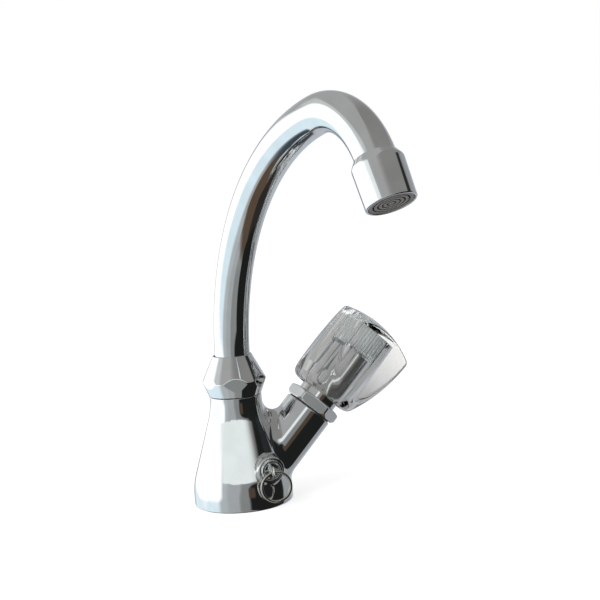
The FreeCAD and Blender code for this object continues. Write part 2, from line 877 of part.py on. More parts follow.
def make_chain_stay():
    body = new_body("chain_stay", frame(x=S.stay_x, y=-S.stay_face_y, z=S.stay_z, axis=(1, 0, 0), angle=90))
    turn(body, "disc", [
        (0, -S.stay_screw_len),
        (S.stay_screw_r, -S.stay_screw_len),
        (S.stay_screw_r, 0),
        (S.stay_disc_r - S.stay_edge, 0),
        (S.stay_disc_r, S.stay_edge),
        (S.stay_disc_r, S.stay_rim_h - S.stay_edge),
        (S.stay_disc_r - S.stay_edge, S.stay_rim_h),
        (S.stay_cup_r, S.stay_rim_h),
        (S.stay_cup_r - S.stay_cup_slope, S.stay_cup_h),
        (S.stay_pin_r, S.stay_cup_h),
        (S.stay_pin_r, S.eye_out - S.eye_r),
        (0, S.eye_out - S.eye_r),
    ])
    eye = body.newObject("PartDesign::AdditiveTorus", "eye")
    bind(eye, "Radius1", S.eye_r)
    bind(eye, "Radius2", S.eye_wire_r)
    put(eye, frame(z=S.eye_out, axis=(0, 1, 0), angle=90))


def make_chain_ring():
    """A split ring of two turns, lying close together. It hangs a little to one side."""
    centre_x = S.stay_x + S.ring_r * sin_of(S.ring_lean)
    centre_z = S.stay_z - S.ring_drop - S.ring_r * cos_of(S.ring_lean)
    body = new_body("chain_ring", frame(x=centre_x, y=-(S.stay_face_y + S.eye_out), z=centre_z,
                                        axis=(1, 0, 0), angle=90))
    half = S.ring_wire_r / 2
    waist = S.ring_wire_r * SPLIT_SHARE
    turn(body, "two_turns", [
        (S.ring_r - half, -S.ring_wire_r),
        (S.ring_r + half, -S.ring_wire_r),
        (S.ring_r + S.ring_wire_r, -half),
        (S.ring_r + waist, 0),
        (S.ring_r + S.ring_wire_r, half),
        (S.ring_r + half, S.ring_wire_r),
        (S.ring_r - half, S.ring_wire_r),
        (S.ring_r - S.ring_wire_r, half),
        (S.ring_r - waist, 0),
        (S.ring_r - S.ring_wire_r, -half),
    ])


def make_spout_tube():
    body = new_body("spout_tube", SPOUT)
    spine = new_sketch(body, "centre_line", UPRIGHT)
    lines = tube_line(spine)
    ring = circles(body, "tube_section", up(S.tube_foot_z), [(0, 0, S.tube_r), (0, 0, S.tube_r - S.tube_wall)])
    pipe = body.newObject("PartDesign::AdditivePipe", "tube")
    pipe.Profile = ring
    pipe.Spine = (spine, ["Edge%d" % index for index in range(1, lines + 1)])
    pipe.Mode = "Frenet"
    pipe.Transition = "Transformed"
    spine.Visibility = False
    ring.Visibility = False


def tube_line(sketch):
    """Draw the spout's centre line: rise, long bend, short bend and straight tail."""
    turn_x = long_bend_end_x()
    turn_z = long_bend_end_z()
    centre_x = turn_x + S.short_bend_r * cos_of(S.long_bend_end)
    centre_z = turn_z - S.short_bend_r * sin_of(S.long_bend_end)
    end_x, end_z = bend_end()
    tail_x = end_x + S.tube_tail * sin_of(S.short_bend_end)
    tail_z = end_z + S.tube_tail * cos_of(S.short_bend_end)
    rise_top = Vector(0, num(S.bend_start_z), 0)
    sketch.addGeometry(Part.LineSegment(Vector(0, num(S.tube_foot_z), 0), rise_top), False)
    long_circle = Part.Circle(Vector(num(S.long_bend_r), num(S.bend_start_z), 0), Vector(0, 0, 1),
                              num(S.long_bend_r))
    start = math.radians(180 - num(S.long_bend_end))
    sketch.addGeometry(Part.ArcOfCircle(long_circle, start, math.pi), False)
    short_circle = Part.Circle(Vector(num(centre_x), num(centre_z), 0), Vector(0, 0, 1), num(S.short_bend_r))
    finish = math.radians(180 - num(S.short_bend_end))
    sketch.addGeometry(Part.ArcOfCircle(short_circle, finish, start), False)
    end_spot = Vector(num(end_x), num(end_z), 0)
    sketch.addGeometry(Part.LineSegment(end_spot, Vector(num(tail_x), num(tail_z), 0)), False)
    pin(sketch, 0, 1, 0, S.tube_foot_z)
    pin(sketch, 0, 2, 0, S.bend_start_z)
    sketch.addConstraint(Sketcher.Constraint("Coincident", 0, 2, 1, 2))
    pin(sketch, 1, 3, S.long_bend_r, S.bend_start_z)
    pin(sketch, 1, 1, x=turn_x)
    sketch.addConstraint(Sketcher.Constraint("Coincident", 1, 1, 2, 2))
    pin(sketch, 2, 3, centre_x, centre_z)
    pin(sketch, 2, 1, x=end_x)
    sketch.addConstraint(Sketcher.Constraint("Coincident", 2, 1, 3, 1))
    pin(sketch, 3, 2, tail_x, tail_z)
    return 4


def long_bend_end_x():
    return S.long_bend_r - S.long_bend_r * cos_of(S.long_bend_end)


def long_bend_end_z():
    return S.bend_start_z + S.long_bend_r * sin_of(S.long_bend_end)


def bend_end():
    """Where the short bend ends, in the plane of the spout."""
    centre_x = long_bend_end_x() + S.short_bend_r * cos_of(S.long_bend_end)
    centre_z = long_bend_end_z() - S.short_bend_r * sin_of(S.long_bend_end)
    end_x = centre_x - S.short_bend_r * cos_of(S.short_bend_end)
    end_z = centre_z + S.short_bend_r * sin_of(S.short_bend_end)
    return end_x, end_z


def outlet_frame():
    """The frame at the end of the bend, with Z along the water's way out."""
    end_x, end_z = bend_end()
    return SPOUT * frame(x=end_x, z=end_z, axis=(0, 1, 0), angle=S.short_bend_end)


def make_spout_ferrule():
    low_top = S.groove_low_z + S.groove_w
    high_top = S.groove_high_z + S.groove_w
    turn(new_body("spout_ferrule", SPOUT), "collar", [
        (S.tube_r, S.ferrule_foot_z),
        (S.ferrule_r, S.ferrule_foot_z),
        (S.ferrule_r, S.groove_low_z),
        (S.groove_r, S.groove_low_z),
        (S.groove_r, low_top),
        (S.ferrule_r, low_top),
        (S.ferrule_r, S.groove_high_z),
        (S.groove_r, S.groove_high_z),
        (S.groove_r, high_top),
        (S.ferrule_r, high_top),
        (S.ferrule_r, S.flange_foot_z),
        (S.flange_r, S.flange_foot_z),
        (S.flange_r, S.ferrule_top_z),
        (S.tube_r, S.ferrule_top_z),
    ])


def make_spout_o_rings():
    wire_r = (S.ferrule_r - S.groove_r) / 2
    ring_r = (S.ferrule_r + S.groove_r) / 2
    torus("spout_o_ring_lower", up(S.groove_low_z + S.groove_w / 2), ring_r, wire_r)
    torus("spout_o_ring_upper", up(S.groove_high_z + S.groove_w / 2), ring_r, wire_r)


def make_outlet_housing():
    body = new_body("outlet_housing", outlet_frame())
    housing = turn(body, "housing", [
        (S.tube_r + S.braze_gap, S.house_start),
        (S.house_neck_r, S.house_start),
        (S.house_r, S.house_cone_end),
        (S.house_rim_r, S.house_end - S.house_rim_h),
        (S.house_rim_r - S.house_rim_edge, S.house_end),
        (S.house_bore_r + S.house_rim_edge, S.house_end),
        (S.house_bore_r, S.house_end - S.house_rim_edge),
        (S.house_bore_r, S.house_step),
        (S.house_way_r, S.house_step),
        (S.house_way_r, S.house_stop),
        (S.tube_r, S.house_stop),
        (S.tube_r, 0),
        (S.tube_r + S.braze_gap, 0),
    ])
    soften(body, "shoulder", housing,
           lambda p: near(p.z, S.house_cone_end) and near(radius_at(p), S.house_r), S.house_shoulder_r)


def make_aerator_washer():
    turn(new_body("aerator_washer", outlet_frame()), "ring", [
        (S.house_way_r - S.mouth_washer_lip, S.house_step),
        (S.house_bore_r, S.house_step),
        (S.house_bore_r, S.shell_start),
        (S.house_way_r - S.mouth_washer_lip, S.shell_start),
    ])


def make_aerator_shell():
    turn(new_body("aerator_shell", outlet_frame()), "jacket", [
        (S.shell_in_r, S.shell_start),
        (S.house_bore_r, S.shell_start),
        (S.house_bore_r, S.shell_end - S.shell_edge),
        (S.house_bore_r - S.shell_edge, S.shell_end),
        (S.shell_in_r, S.shell_end),
    ])


def make_aerator_diffuser():
    """Perforated plate that splits the flow."""
    body = new_body("aerator_diffuser", outlet_frame())
    top = S.shell_start + S.diffuser_drop
    turn(body, "plate", [
        (0, top),
        (S.shell_in_r, top),
        (S.shell_in_r, top + S.diffuser_h),
        (0, top + S.diffuser_h),
    ])
    for name, ring_r, count in (("inner_hole", S.diffuser_inner_r, INNER_HOLES),
                                ("outer_hole", S.diffuser_outer_r, OUTER_HOLES)):
        sketch = circles(body, name + "_round", up(top), [(ring_r, 0, S.diffuser_hole_r)])
        hole = extrude(body, name, sketch, S.diffuser_h, cut=True)
        pattern(body, name + "s", hole, sketch, count)


def make_screen(label, height):
    """Fine screen, shown as a disc with slots."""
    body = new_body(label, outlet_frame())
    turn(body, "disc", [
        (0, height),
        (S.shell_in_r, height),
        (S.shell_in_r, height + S.screen_h),
        (0, height + S.screen_h),
    ])
    sketch = new_sketch(body, "slots_outline", up(height))
    reach = S.shell_in_r - S.screen_rim
    half_w = S.screen_slot_w / 2
    for step in range(-SCREEN_SLOTS, SCREEN_SLOTS + 1):
        x = reach * (step / (SCREEN_SLOTS + 0.5))
        half = root_of(reach * reach - x * x)
        add_polygon(sketch, [(x - half_w, -half), (x + half_w, -half), (x + half_w, half), (x - half_w, half)])
    extrude(body, "slots", sketch, S.screen_h, cut=True)


def make_aerator_grid():
    """Outlet grid of concentric rings and spokes, seen in the mouth."""
    body = new_body("aerator_grid", outlet_frame())
    foot = S.shell_end - S.grid_recess - S.grid_h
    rounds = [(0, 0, S.shell_in_r)]
    for step in range(GRID_GAPS):
        gap_out = S.shell_in_r - S.grid_rim - S.grid_pitch * step
        rounds.append((0, 0, gap_out))
        rounds.append((0, 0, gap_out - S.grid_gap))
    extrude(body, "rings", circles(body, "rings_round", up(foot), rounds), S.grid_h)
    spoke_in = S.shell_in_r - S.grid_rim - S.grid_pitch * (GRID_GAPS - 1) - S.grid_gap - S.grid_recess
    spoke_out = S.shell_in_r - S.grid_rim / 2
    spoke = polygon(body, "spoke_outline", up(foot), [
        (spoke_in, -S.spoke_w / 2),
        (spoke_out, -S.spoke_w / 2),
        (spoke_out, S.spoke_w / 2),
        (spoke_in, S.spoke_w / 2),
    ])
    pattern(body, "spokes", extrude(body, "spoke", spoke, S.spoke_h), spoke, GRID_SPOKES)


def make_spindle():
    body = new_body("spindle", ARM)
    low_top = S.seal_low + S.seal_groove_w
    high_top = S.seal_high + S.seal_groove_w
    turn(body, "shaft", [
        (0, S.spindle_foot),
        (S.spindle_thread_r, S.spindle_foot),
        (S.spindle_thread_r, S.collar_foot),
        (S.collar_r, S.collar_foot),
        (S.collar_r, S.collar_top),
        (S.spindle_r, S.collar_top),
        (S.spindle_r, S.seal_low),
        (S.seal_groove_r, S.seal_low),
        (S.seal_groove_r, low_top),
        (S.spindle_r, low_top),
        (S.spindle_r, S.seal_high),
        (S.seal_groove_r, S.seal_high),
        (S.seal_groove_r, high_top),
        (S.spindle_r, high_top),
        (S.spindle_r, S.clip_foot),
        (S.clip_in_r, S.clip_foot),
        (S.clip_in_r, S.clip_top),
        (S.spindle_r, S.clip_top),
        (S.spindle_r, S.spline_foot),
        (S.spline_r, S.spline_foot),
        (S.spline_r, S.spindle_top),
        (S.tap_hole_r, S.spindle_top),
        (S.tap_hole_r, S.tap_hole_foot),
        (0, S.tap_hole_foot),
    ])
    groove = polygon(body, "spline_outline", up(S.spline_foot), [
        (S.spline_r - S.spline_d, 0),
        (S.spline_r + S.spline_d, -S.spline_w),
        (S.spline_r + S.spline_d, S.spline_w),
    ])
    cut = extrude(body, "spline_groove", groove, S.spline_len, cut=True)
    pattern(body, "spline", cut, groove, SPLINES)


def make_spindle_o_rings():
    wire_r = (S.spindle_r - S.seal_groove_r) / 2
    ring_r = (S.spindle_r + S.seal_groove_r) / 2
    for label, foot in (("spindle_o_ring_lower", S.seal_low), ("spindle_o_ring_upper", S.seal_high)):
        torus(label, up(foot + S.seal_groove_w / 2, ARM), ring_r, wire_r)


def make_thrust_washer():
    turn(new_body("thrust_washer", ARM), "ring", [
        (S.spindle_r, S.collar_top),
        (S.collar_r, S.collar_top),
        (S.collar_r, S.thrust_top),
        (S.spindle_r, S.thrust_top),
    ])


def make_spindle_circlip():
    body = new_body("spindle_circlip", ARM)
    turn(body, "ring", [
        (S.clip_in_r, S.clip_foot),
        (S.clip_r, S.clip_foot),
        (S.clip_r, S.clip_top),
        (S.clip_in_r, S.clip_top),
    ])
    half = S.clip_gap_w / 2
    start = S.clip_in_r - CUT_OVER
    end = S.clip_r + CUT_OVER
    gap = polygon(body, "gap_outline", up(S.clip_foot), [(start, -half), (end, -half), (end, half), (start, half)])
    extrude(body, "gap", gap, S.clip_h, cut=True)


def make_valve_piston():
    body = new_body("valve_piston", ARM)
    turn(body, "carrier", [
        (S.tap_hole_r, S.piston_foot),
        (S.plate_r, S.piston_foot),
        (S.plate_r, S.plate_top),
        (S.piston_waist_r, S.plate_top),
        (S.piston_waist_r, S.bonnet_foot),
        (S.piston_r, S.bonnet_foot),
        (S.piston_r, S.piston_top),
        (S.piston_bore_r, S.piston_top),
        (S.piston_bore_r, S.piston_bore_foot),
        (S.tap_hole_r, S.piston_bore_foot),
    ])
    key = polygon(body, "key_outline", up(S.bonnet_foot), [
        (S.piston_r - S.key_root, -S.key_w / 2),
        (S.key_r, -S.key_w / 2),
        (S.key_r, S.key_w / 2),
        (S.piston_r - S.key_root, S.key_w / 2),
    ])
    pattern(body, "keys", extrude(body, "key", key, S.guide_len), key, 2)


def make_valve_washer():
    turn(new_body("valve_washer", ARM), "disc", [
        (S.tap_hole_r, S.washer_foot),
        (S.washer_r, S.washer_foot),
        (S.washer_r, S.piston_foot),
        (S.tap_hole_r, S.piston_foot),
    ])


def make_washer_screw():
    body = new_body("washer_screw", ARM)
    turn(body, "screw", [
        (0, S.screw_head_foot),
        (S.screw_head_r, S.screw_head_foot),
        (S.screw_head_r, S.washer_foot),
        (S.tap_hole_r, S.washer_foot),
        (S.tap_hole_r, S.piston_bore_foot),
        (0, S.piston_bore_foot),
    ])
    slot = bar(body, "slot", up(S.screw_head_foot), S.screw_head_r * 2 + CUT_OVER, S.screw_slot_w)
    extrude(body, "slot", slot, S.screw_slot_d, cut=True)


def bar(body, name, where, length, width):
    """The outline of a straight slot through the frame's axis."""
    x = length / 2
    y = width / 2
    return polygon(body, name + "_outline", where, [(-x, -y), (x, -y), (x, y), (-x, y)])


def bulge(out, radius, level, height):
    """Distance from the axis of an arc that lies farthest out at a level."""
    rise = height - level
    return out - radius + root_of(radius * radius - rise * rise)


def knob_side(height):
    """The knob's radius at a height along its axis."""
    return bulge(S.knob_out, S.knob_side_r, S.knob_rim + S.knob_belly, height)


def cap_edge():
    """Height of the crown's dome at the cap's edge."""
    rim_r = knob_side(S.knob_rim)
    dome_r = (rim_r * rim_r + S.knob_crown_h * S.knob_crown_h) / (S.knob_crown_h * 2)
    return S.knob_crown - dome_r + root_of(dome_r * dome_r - S.cap_r * S.cap_r)


def make_knob():
    """Turned blank with a hollow, cut to three sides. Inside it narrows to its foot like a funnel."""
    body = new_body("knob", ARM)
    foot_r = knob_side(S.knob_foot)
    rim_r = knob_side(S.knob_rim)
    blank = turn(body, "blank", [
        (S.knob_bore_r, S.knob_foot),
        (foot_r, S.knob_foot),
        (rim_r, S.knob_rim),
        (S.cap_r, cap_edge()),
        (S.cap_r, S.cap_foot),
        (S.cap_plug_r, S.cap_foot),
        (S.cap_plug_r, S.knob_cavity_top),
        (S.knob_cavity_r, S.knob_cavity_top),
        (S.knob_cavity_r, S.funnel_top),
        (S.knob_bore_r, S.funnel_foot),
    ], arcs={1: (None, S.knob_rim + S.knob_belly), 2: (0, None)})
    crown = soften(body, "crown_edge", blank,
                   lambda p: near(p.z, S.knob_rim) and near(radius_at(p), rim_r), S.knob_crown_edge_r)
    soften(body, "foot_edge", crown,
           lambda p: near(p.z, S.knob_foot) and near(radius_at(p), foot_r), S.knob_foot_edge_r)
    for step in range(KNOB_FACES):
        cut_face(body, step)


def cut_face(body, step):
    """One of the knob's slightly bulging sides."""
    level = S.knob_foot + S.face_level
    low = S.knob_foot - CUT_OVER
    high = S.knob_crown + CUT_OVER
    outside = S.knob_out + CUT_OVER
    turned = -S.lobe_turn + (step + 0.5) * 360 / KNOB_FACES
    place = frame(angle=turned) * frame(y=outside) * UPRIGHT
    outline = polygon(body, "face_%d_outline" % step, place, [
        (bulge(S.face_out, S.face_side_r, level, low), low),
        (bulge(S.face_out, S.face_side_r, level, high), high),
        (outside, high),
        (outside, low),
    ], arcs={0: (None, level)})
    extrude(body, "face_%d" % step, outline, outside * 2, cut=True)


def make_index_cap():
    turn(new_body("index_cap", ARM), "cap", [
        (0, S.cap_plug_foot),
        (S.cap_plug_r, S.cap_plug_foot),
        (S.cap_plug_r, S.cap_foot),
        (S.cap_r, S.cap_foot),
        (S.cap_r, cap_edge()),
        (0, S.knob_crown),
    ], arcs={4: (0, None)})


def make_knob_insert():
    body = new_body("knob_insert", ARM)
    screw_hole_r = S.tap_hole_r + S.screw_play
    turn(body, "bush", [
        (S.spline_r, S.insert_foot),
        (S.insert_hub_r, S.insert_foot),
        (S.insert_hub_r, S.insert_disc),
        (S.knob_cavity_r, S.insert_disc),
        (S.knob_cavity_r, S.knob_cavity_top),
        (S.insert_wall_r, S.knob_cavity_top),
        (S.insert_wall_r, S.insert_disc_top),
        (S.insert_hub_r, S.insert_disc_top),
        (S.insert_hub_r, S.insert_hub_top),
        (S.knob_screw_head_r, S.insert_hub_top),
        (S.knob_screw_head_r, S.knob_screw_seat),
        (screw_hole_r, S.knob_screw_seat),
        (screw_hole_r, S.web_foot),
        (S.spline_r, S.web_foot),
    ])
    tooth = polygon(body, "tooth_outline", up(S.insert_disc), [
        (S.knob_cavity_r - S.tooth_d, 0),
        (S.knob_cavity_r + S.tooth_d, -S.tooth_w),
        (S.knob_cavity_r + S.tooth_d, S.tooth_w),
    ])
    cut = extrude(body, "tooth_gap", tooth, S.insert_h, cut=True)
    pattern(body, "serration", cut, tooth, TEETH)


def make_knob_screw():
    body = new_body("knob_screw", ARM)
    turn(body, "screw", [
        (0, S.knob_screw_foot),
        (S.tap_hole_r, S.knob_screw_foot),
        (S.tap_hole_r, S.knob_screw_seat),
        (S.knob_screw_head_r, S.knob_screw_seat),
        (S.knob_screw_head_r, S.knob_screw_top),
        (0, S.knob_screw_top),
    ])
    for name, angle in (("slot_a", 0), ("slot_b", 90)):
        place = up(S.knob_screw_top - S.cross_d) * frame(angle=angle)
        slot = bar(body, name, place, S.cross_len, S.cross_w)
        extrude(body, name, slot, S.cross_d, cut=True)


def check_and_write():
    """Stop on any faulty feature, then write one file per sub-part."""
    doc.recompute()
    faults = []
    for item in doc.Objects:
        if "Invalid" in item.State or "Error" in item.State:
            faults.append("%s: %s" % (item.Name, item.State))
    for body in SUBPARTS:
        shape = body.Shape
        if shape.isNull() or not shape.isValid() or not shape.Solids:
            faults.append("%s has a faulty shape" % body.Label)
    if faults:
        raise RuntimeError("; ".join(faults))
    os.makedirs("parts", exist_ok=True)
    for body in SUBPARTS:
        body.Shape.exportStep("parts/%s.step" % body.Label)
        print("%-22s solids %d  volume %.1f" % (body.Label, len(body.Shape.Solids), body.Shape.Volume))


make_body()
make_base_gasket()
make_spout_nut()
make_spout_slip_ring()
make_valve_seat()
make_bonnet()
make_bonnet_seal()
make_headwork_sleeve()
make_chain_stay()
make_chain_ring()
make_spout_tube()
make_spout_ferrule()
make_spout_o_rings()
make_outlet_housing()
make_aerator_washer()
make_aerator_shell()
make_aerator_diffuser()
make_screen("aerator_screen_upper", S.shell_start + S.screen_drop)
make_screen("aerator_screen_lower", S.shell_start + S.low_screen_drop)
make_aerator_grid()
make_spindle()
make_spindle_o_rings()
make_thrust_washer()
make_spindle_circlip()
make_valve_piston()
make_valve_washer()
make_washer_screw()
make_knob()
make_index_cap()
make_knob_insert()
make_knob_screw()
check_and_write()
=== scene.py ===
import bpy
import math
import numpy as np
from mathutils import Matrix, Vector


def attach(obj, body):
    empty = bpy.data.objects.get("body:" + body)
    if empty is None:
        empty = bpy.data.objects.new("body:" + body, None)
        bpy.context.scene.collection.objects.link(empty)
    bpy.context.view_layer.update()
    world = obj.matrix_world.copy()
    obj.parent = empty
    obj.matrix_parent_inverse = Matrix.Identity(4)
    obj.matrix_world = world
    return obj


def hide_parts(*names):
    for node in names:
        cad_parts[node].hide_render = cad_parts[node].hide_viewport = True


# Looks of a chrome basin tap with a swan-neck spout and a clear knob.
# Shapes are worked out in millimetres and turned into metres when a mesh is made.

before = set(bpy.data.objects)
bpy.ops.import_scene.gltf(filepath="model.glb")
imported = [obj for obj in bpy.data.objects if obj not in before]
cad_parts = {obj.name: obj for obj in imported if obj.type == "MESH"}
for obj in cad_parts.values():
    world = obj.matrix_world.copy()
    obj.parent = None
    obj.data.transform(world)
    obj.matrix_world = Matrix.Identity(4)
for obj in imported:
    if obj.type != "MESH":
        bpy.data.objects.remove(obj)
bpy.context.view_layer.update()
MM = 0.001

# Foot, neck and arm of the cast body
BASE_R = 28.2
BASE_WALL_Z = 11.7
BASE_BLEND_R = 38.0
NECK_R = 14.8
NECK_Z = 54.2
NECK_BLEND_R = 40.0
SHOULDER_Z = 61.9
SHOULDER_EDGE_R = 0.3
FOOT_EDGE_R = 1.0
FOOT_HOLLOW_R = 22.0
FOOT_HOLLOW_Z = 9.0
GASKET_IN_R = 23.2
GASKET_OUT_R = 26.2
GASKET_H = 2.0
ARM_Z = 3.2
ARM_TILT = math.radians(43.65)
ARM_R = 14.5
ARM_START = 16.0
ARM_END = 61.6
ARM_EDGE_R = 0.35
SADDLE_R = 7.5

# Boss on the body's side, with the stay, its eye and the split ring
BOSS_SPOT = (10.8, -26.3, 21.7)
BOSS_R = 7.6
BOSS_LEN = 14.0
BOSS_BLEND_R = 2.0
BOSS_EDGE_R = 1.0
STAY_R = 5.9
STAY_H = 1.6
STAY_SCREW_R = 2.0
STAY_SCREW_LEN = 6.0
CUP_RIM_R = 4.7
CUP_FLOOR_R = 4.1
CUP_FLOOR_H = 0.6
CUP_STUD_R = 1.5
CUP_STUD_H = 1.75
EYE_OUT = 3.9
EYE_R = 2.3
EYE_WIRE_R = 0.7
RING_R = 8.3
RING_HALF_WIDE = 0.8
RING_HALF_THICK = 0.39
RING_PITCH = 0.8
RING_DROP = 0.6
RING_LEAN = math.radians(7.0)
CROSSING_AT = math.radians(-60)
CROSSING_HALF = math.radians(16)

# Spout nut
NUT_FOOT_Z = 62.2
NUT_WIDE_Z = 70.4
NUT_SEAT_Z = 76.3
NUT_TOP_Z = 84.9
NUT_FOOT_R = 14.94
NUT_WIDE_R = 18.16
NUT_TOP_R = 11.0
NUT_FLATS = 33.5
NUT_TURN_DEGREES = 18.3
NUT_BORE_R = 10.35
NUT_THREAD_R = 14.0
NUT_RIDGE_EDGE_R = 0.4
NUT_FLAT_EDGE_R = 0.3
NUT_END_EDGE_R = 0.2

# Headwork and the sleeve over its neck, along the arm's axis. The two steep values turn a level distance from
# a bevel of the hexagon into one that is square to it.
HEX_FOOT = 62.4
HEX_TOP = 68.9
HEX_FLATS = 28.6
HEX_TURN_DEGREES = 13.4
HEX_CORNER_R = 16.4
HEX_FOOT_R = 14.9
HEX_FOOT_SLOPE = 0.94
HEX_FOOT_STEEP = 0.73
HEX_TOP_R = 14.0
HEX_TOP_SLOPE = -2.4
HEX_TOP_STEEP = 0.385
HEX_EDGE_R = 0.3
HEX_END_EDGE_R = 0.2
NOSE_R = 9.6
NOSE_FOOT = 44.5
NOSE_TOP = 50.0
BARREL_R = 10.48
BARREL_FOOT = 49.8
BARREL_TOP = 62.6
HEAD_NECK_R = 8.5
HEAD_NECK_FOOT = 62.0
HEAD_NECK_TOP = 82.0
PISTON_HOLE_R = 8.05
PISTON_HOLE_TOP = 59.0
COLLAR_HOLE_R = 6.8
COLLAR_HOLE_TOP = 62.5
SPINDLE_HOLE_R = 5.05
SLEEVE_R = 11.8
SLEEVE_IN_R = 10.9
SLEEVE_FLOOR = 70.4
SLEEVE_TOP = 103.0

# Spout, measured in its own upright plane
SPOUT_SWING = math.radians(-75.4)
TUBE_R = 10.0
TUBE_WALL = 1.0
TUBE_FOOT_Z = 50.5
BEND_START_Z = 77.2
LONG_BEND_R = 140.2
LONG_BEND_END = math.radians(77.2)
SHORT_BEND_R = 43.3
SHORT_BEND_END = math.radians(154.3)
TUBE_TAIL = 6.0

# Outlet housing, along the outlet's axis from the end of the bend
HOUSING_START = -2.2
HOUSING_SOCKET_R = 10.1
HOUSING_START_R = 10.4
HOUSING_WIDE = 1.5
HOUSING_WIDE_R = 12.8
HOUSING_END = 22.0
HOUSING_END_R = 12.4
MOUTH_R = 11.3
WEB_START = 6.3
WEB_END = 7.5
WEB_HOLE_R = 9.0

# Knob, along the arm's axis
KNOB_FOOT = 72.8
KNOB_RIM = 116.8
KNOB_CROWN = 125.6
KNOB_OUT = 30.4
KNOB_SIDE_R = 95.0
KNOB_SIDE_LEVEL = 118.0
KNOB_BORE_R = 14.1
KNOB_CAVITY_R = 15.0
KNOB_CAVITY_TOP = 118.5
KNOB_RIM_EDGE_R = 1.5
KNOB_FOOT_EDGE_R = 2.5
FUNNEL_FOOT = 79.0
FUNNEL_TOP = 86.0
LOBE_TURN = math.radians(16.6)
FACE_TURNS_DEGREES = (60, 180, 300)
FACE_OUT = 21.0
FACE_LEVEL = 87.0
FACE_SIDE_R = 363.0
FACE_EDGE_R = 0.9
PLUG_R = 4.4
PLUG_FOOT = 115.0

# Fineness of turned pieces and wires
SIDES = 128
STAY_SIDES = 96
WIRE_SIDES = 20
WIRE_STEP_DEGREES = 3
ARC_STEP = math.radians(12)
FOOT_STEP = 2.0
STRAIGHT_STEPS = 8
BEND_STEPS = 60
TINY = 1e-6

# Grid cells of the surfaces meshed from distance fields, and the boxes round them in their own frames
FINE_CELL = 0.4
COARSE_CELL = 0.6
BODY_BOX = ((-29.5, -29.5, -0.6), (54.5, 29.5, 63.0))
NUT_BOX = ((-19.0, -19.0, 61.6), (19.0, 19.0, 85.6))
BONNET_BOX = ((-17.2, -17.2, 43.9), (17.2, 17.2, 82.7))
KNOB_BOX = ((-32.0, -32.0, 72.0), (32.0, 32.0, 126.6))

# How points of a meshed surface are moved onto it
SETTLE_ROUNDS = 4
LEAST_SLOPE = 0.05
LARGEST_MOVE = 0.4
GRADIENT_STEP = 0.01
WALL_STEP = 0.05

# Limits within which the fillet formulas hold
CLOSEST_NORMALS = 0.95
ARC_SHARE = 0.9


def placed(spot, x_axis, y_axis, z_axis):
    """A frame as a 4 x 4 array with the three axes in its columns."""
    out = np.eye(4)
    out[:3, 0] = x_axis
    out[:3, 1] = y_axis
    out[:3, 2] = z_axis
    out[:3, 3] = spot
    return out


def turned_z(angle):
    """A frame turned about the upright axis."""
    c, s = math.cos(angle), math.sin(angle)
    return placed((0, 0, 0), (c, s, 0), (-s, c, 0), (0, 0, 1))


def tilted(spot, angle):
    """A frame at a point, tipped from upright towards +X."""
    c, s = math.cos(angle), math.sin(angle)
    return placed(spot, (c, 0, -s), (0, 1, 0), (s, 0, c))


WORLD = np.eye(4)
ARM = tilted((0, 0, ARM_Z), ARM_TILT)
STAY = placed(BOSS_SPOT, (1, 0, 0), (0, 0, 1), (0, -1, 0))
EYE = STAY @ placed((0, 0, EYE_OUT), (0, 0, 1), (0, 1, 0), (-1, 0, 0))
LONG_END_X = LONG_BEND_R * (1 - math.cos(LONG_BEND_END))
LONG_END_Z = BEND_START_Z + LONG_BEND_R * math.sin(LONG_BEND_END)
SHORT_MID_X = LONG_END_X + SHORT_BEND_R * math.cos(LONG_BEND_END)
SHORT_MID_Z = LONG_END_Z - SHORT_BEND_R * math.sin(LONG_BEND_END)
BEND_END_X = SHORT_MID_X - SHORT_BEND_R * math.cos(SHORT_BEND_END)
BEND_END_Z = SHORT_MID_Z + SHORT_BEND_R * math.sin(SHORT_BEND_END)
SPOUT = turned_z(SPOUT_SWING)
OUTLET = SPOUT @ tilted((BEND_END_X, 0, BEND_END_Z), SHORT_BEND_END)


def to_frame(points, where):
    """Points of the row frame, seen from another frame."""
    return (points - where[:3, 3]) @ where[:3, :3]


# Mesh making

def new_piece(name, verts, faces, normals, where, rides, slot, nodes, material):
    """Make a mesh piece from millimetre points and its true normals, and hang it on its body."""
    spots = verts @ where[:3, :3].T + where[:3, 3]
    mesh = bpy.data.meshes.new(name)
    mesh.from_pydata((spots * MM).tolist(), [], [tuple(face) for face in faces])
    mesh.validate()
    mesh.shade_smooth()
    mesh.normals_split_custom_set_from_vertices((normals @ where[:3, :3].T).tolist())
    mesh.materials.append(material)
    piece = bpy.data.objects.new(name, mesh)
    bpy.context.scene.collection.objects.link(piece)
    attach(piece, rides)
    if nodes:
        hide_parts(*nodes)


def band(low, high, sides, inward=False):
    """Quads between two rings of points, given by the numbers of their first points."""
    quads = []
    for col in range(sides):
        side = (col + 1) % sides
        if inward:
            quads.append((low + col, high + col, high + side, low + side))
        else:
            quads.append((low + col, low + side, high + side, high + col))
    return quads


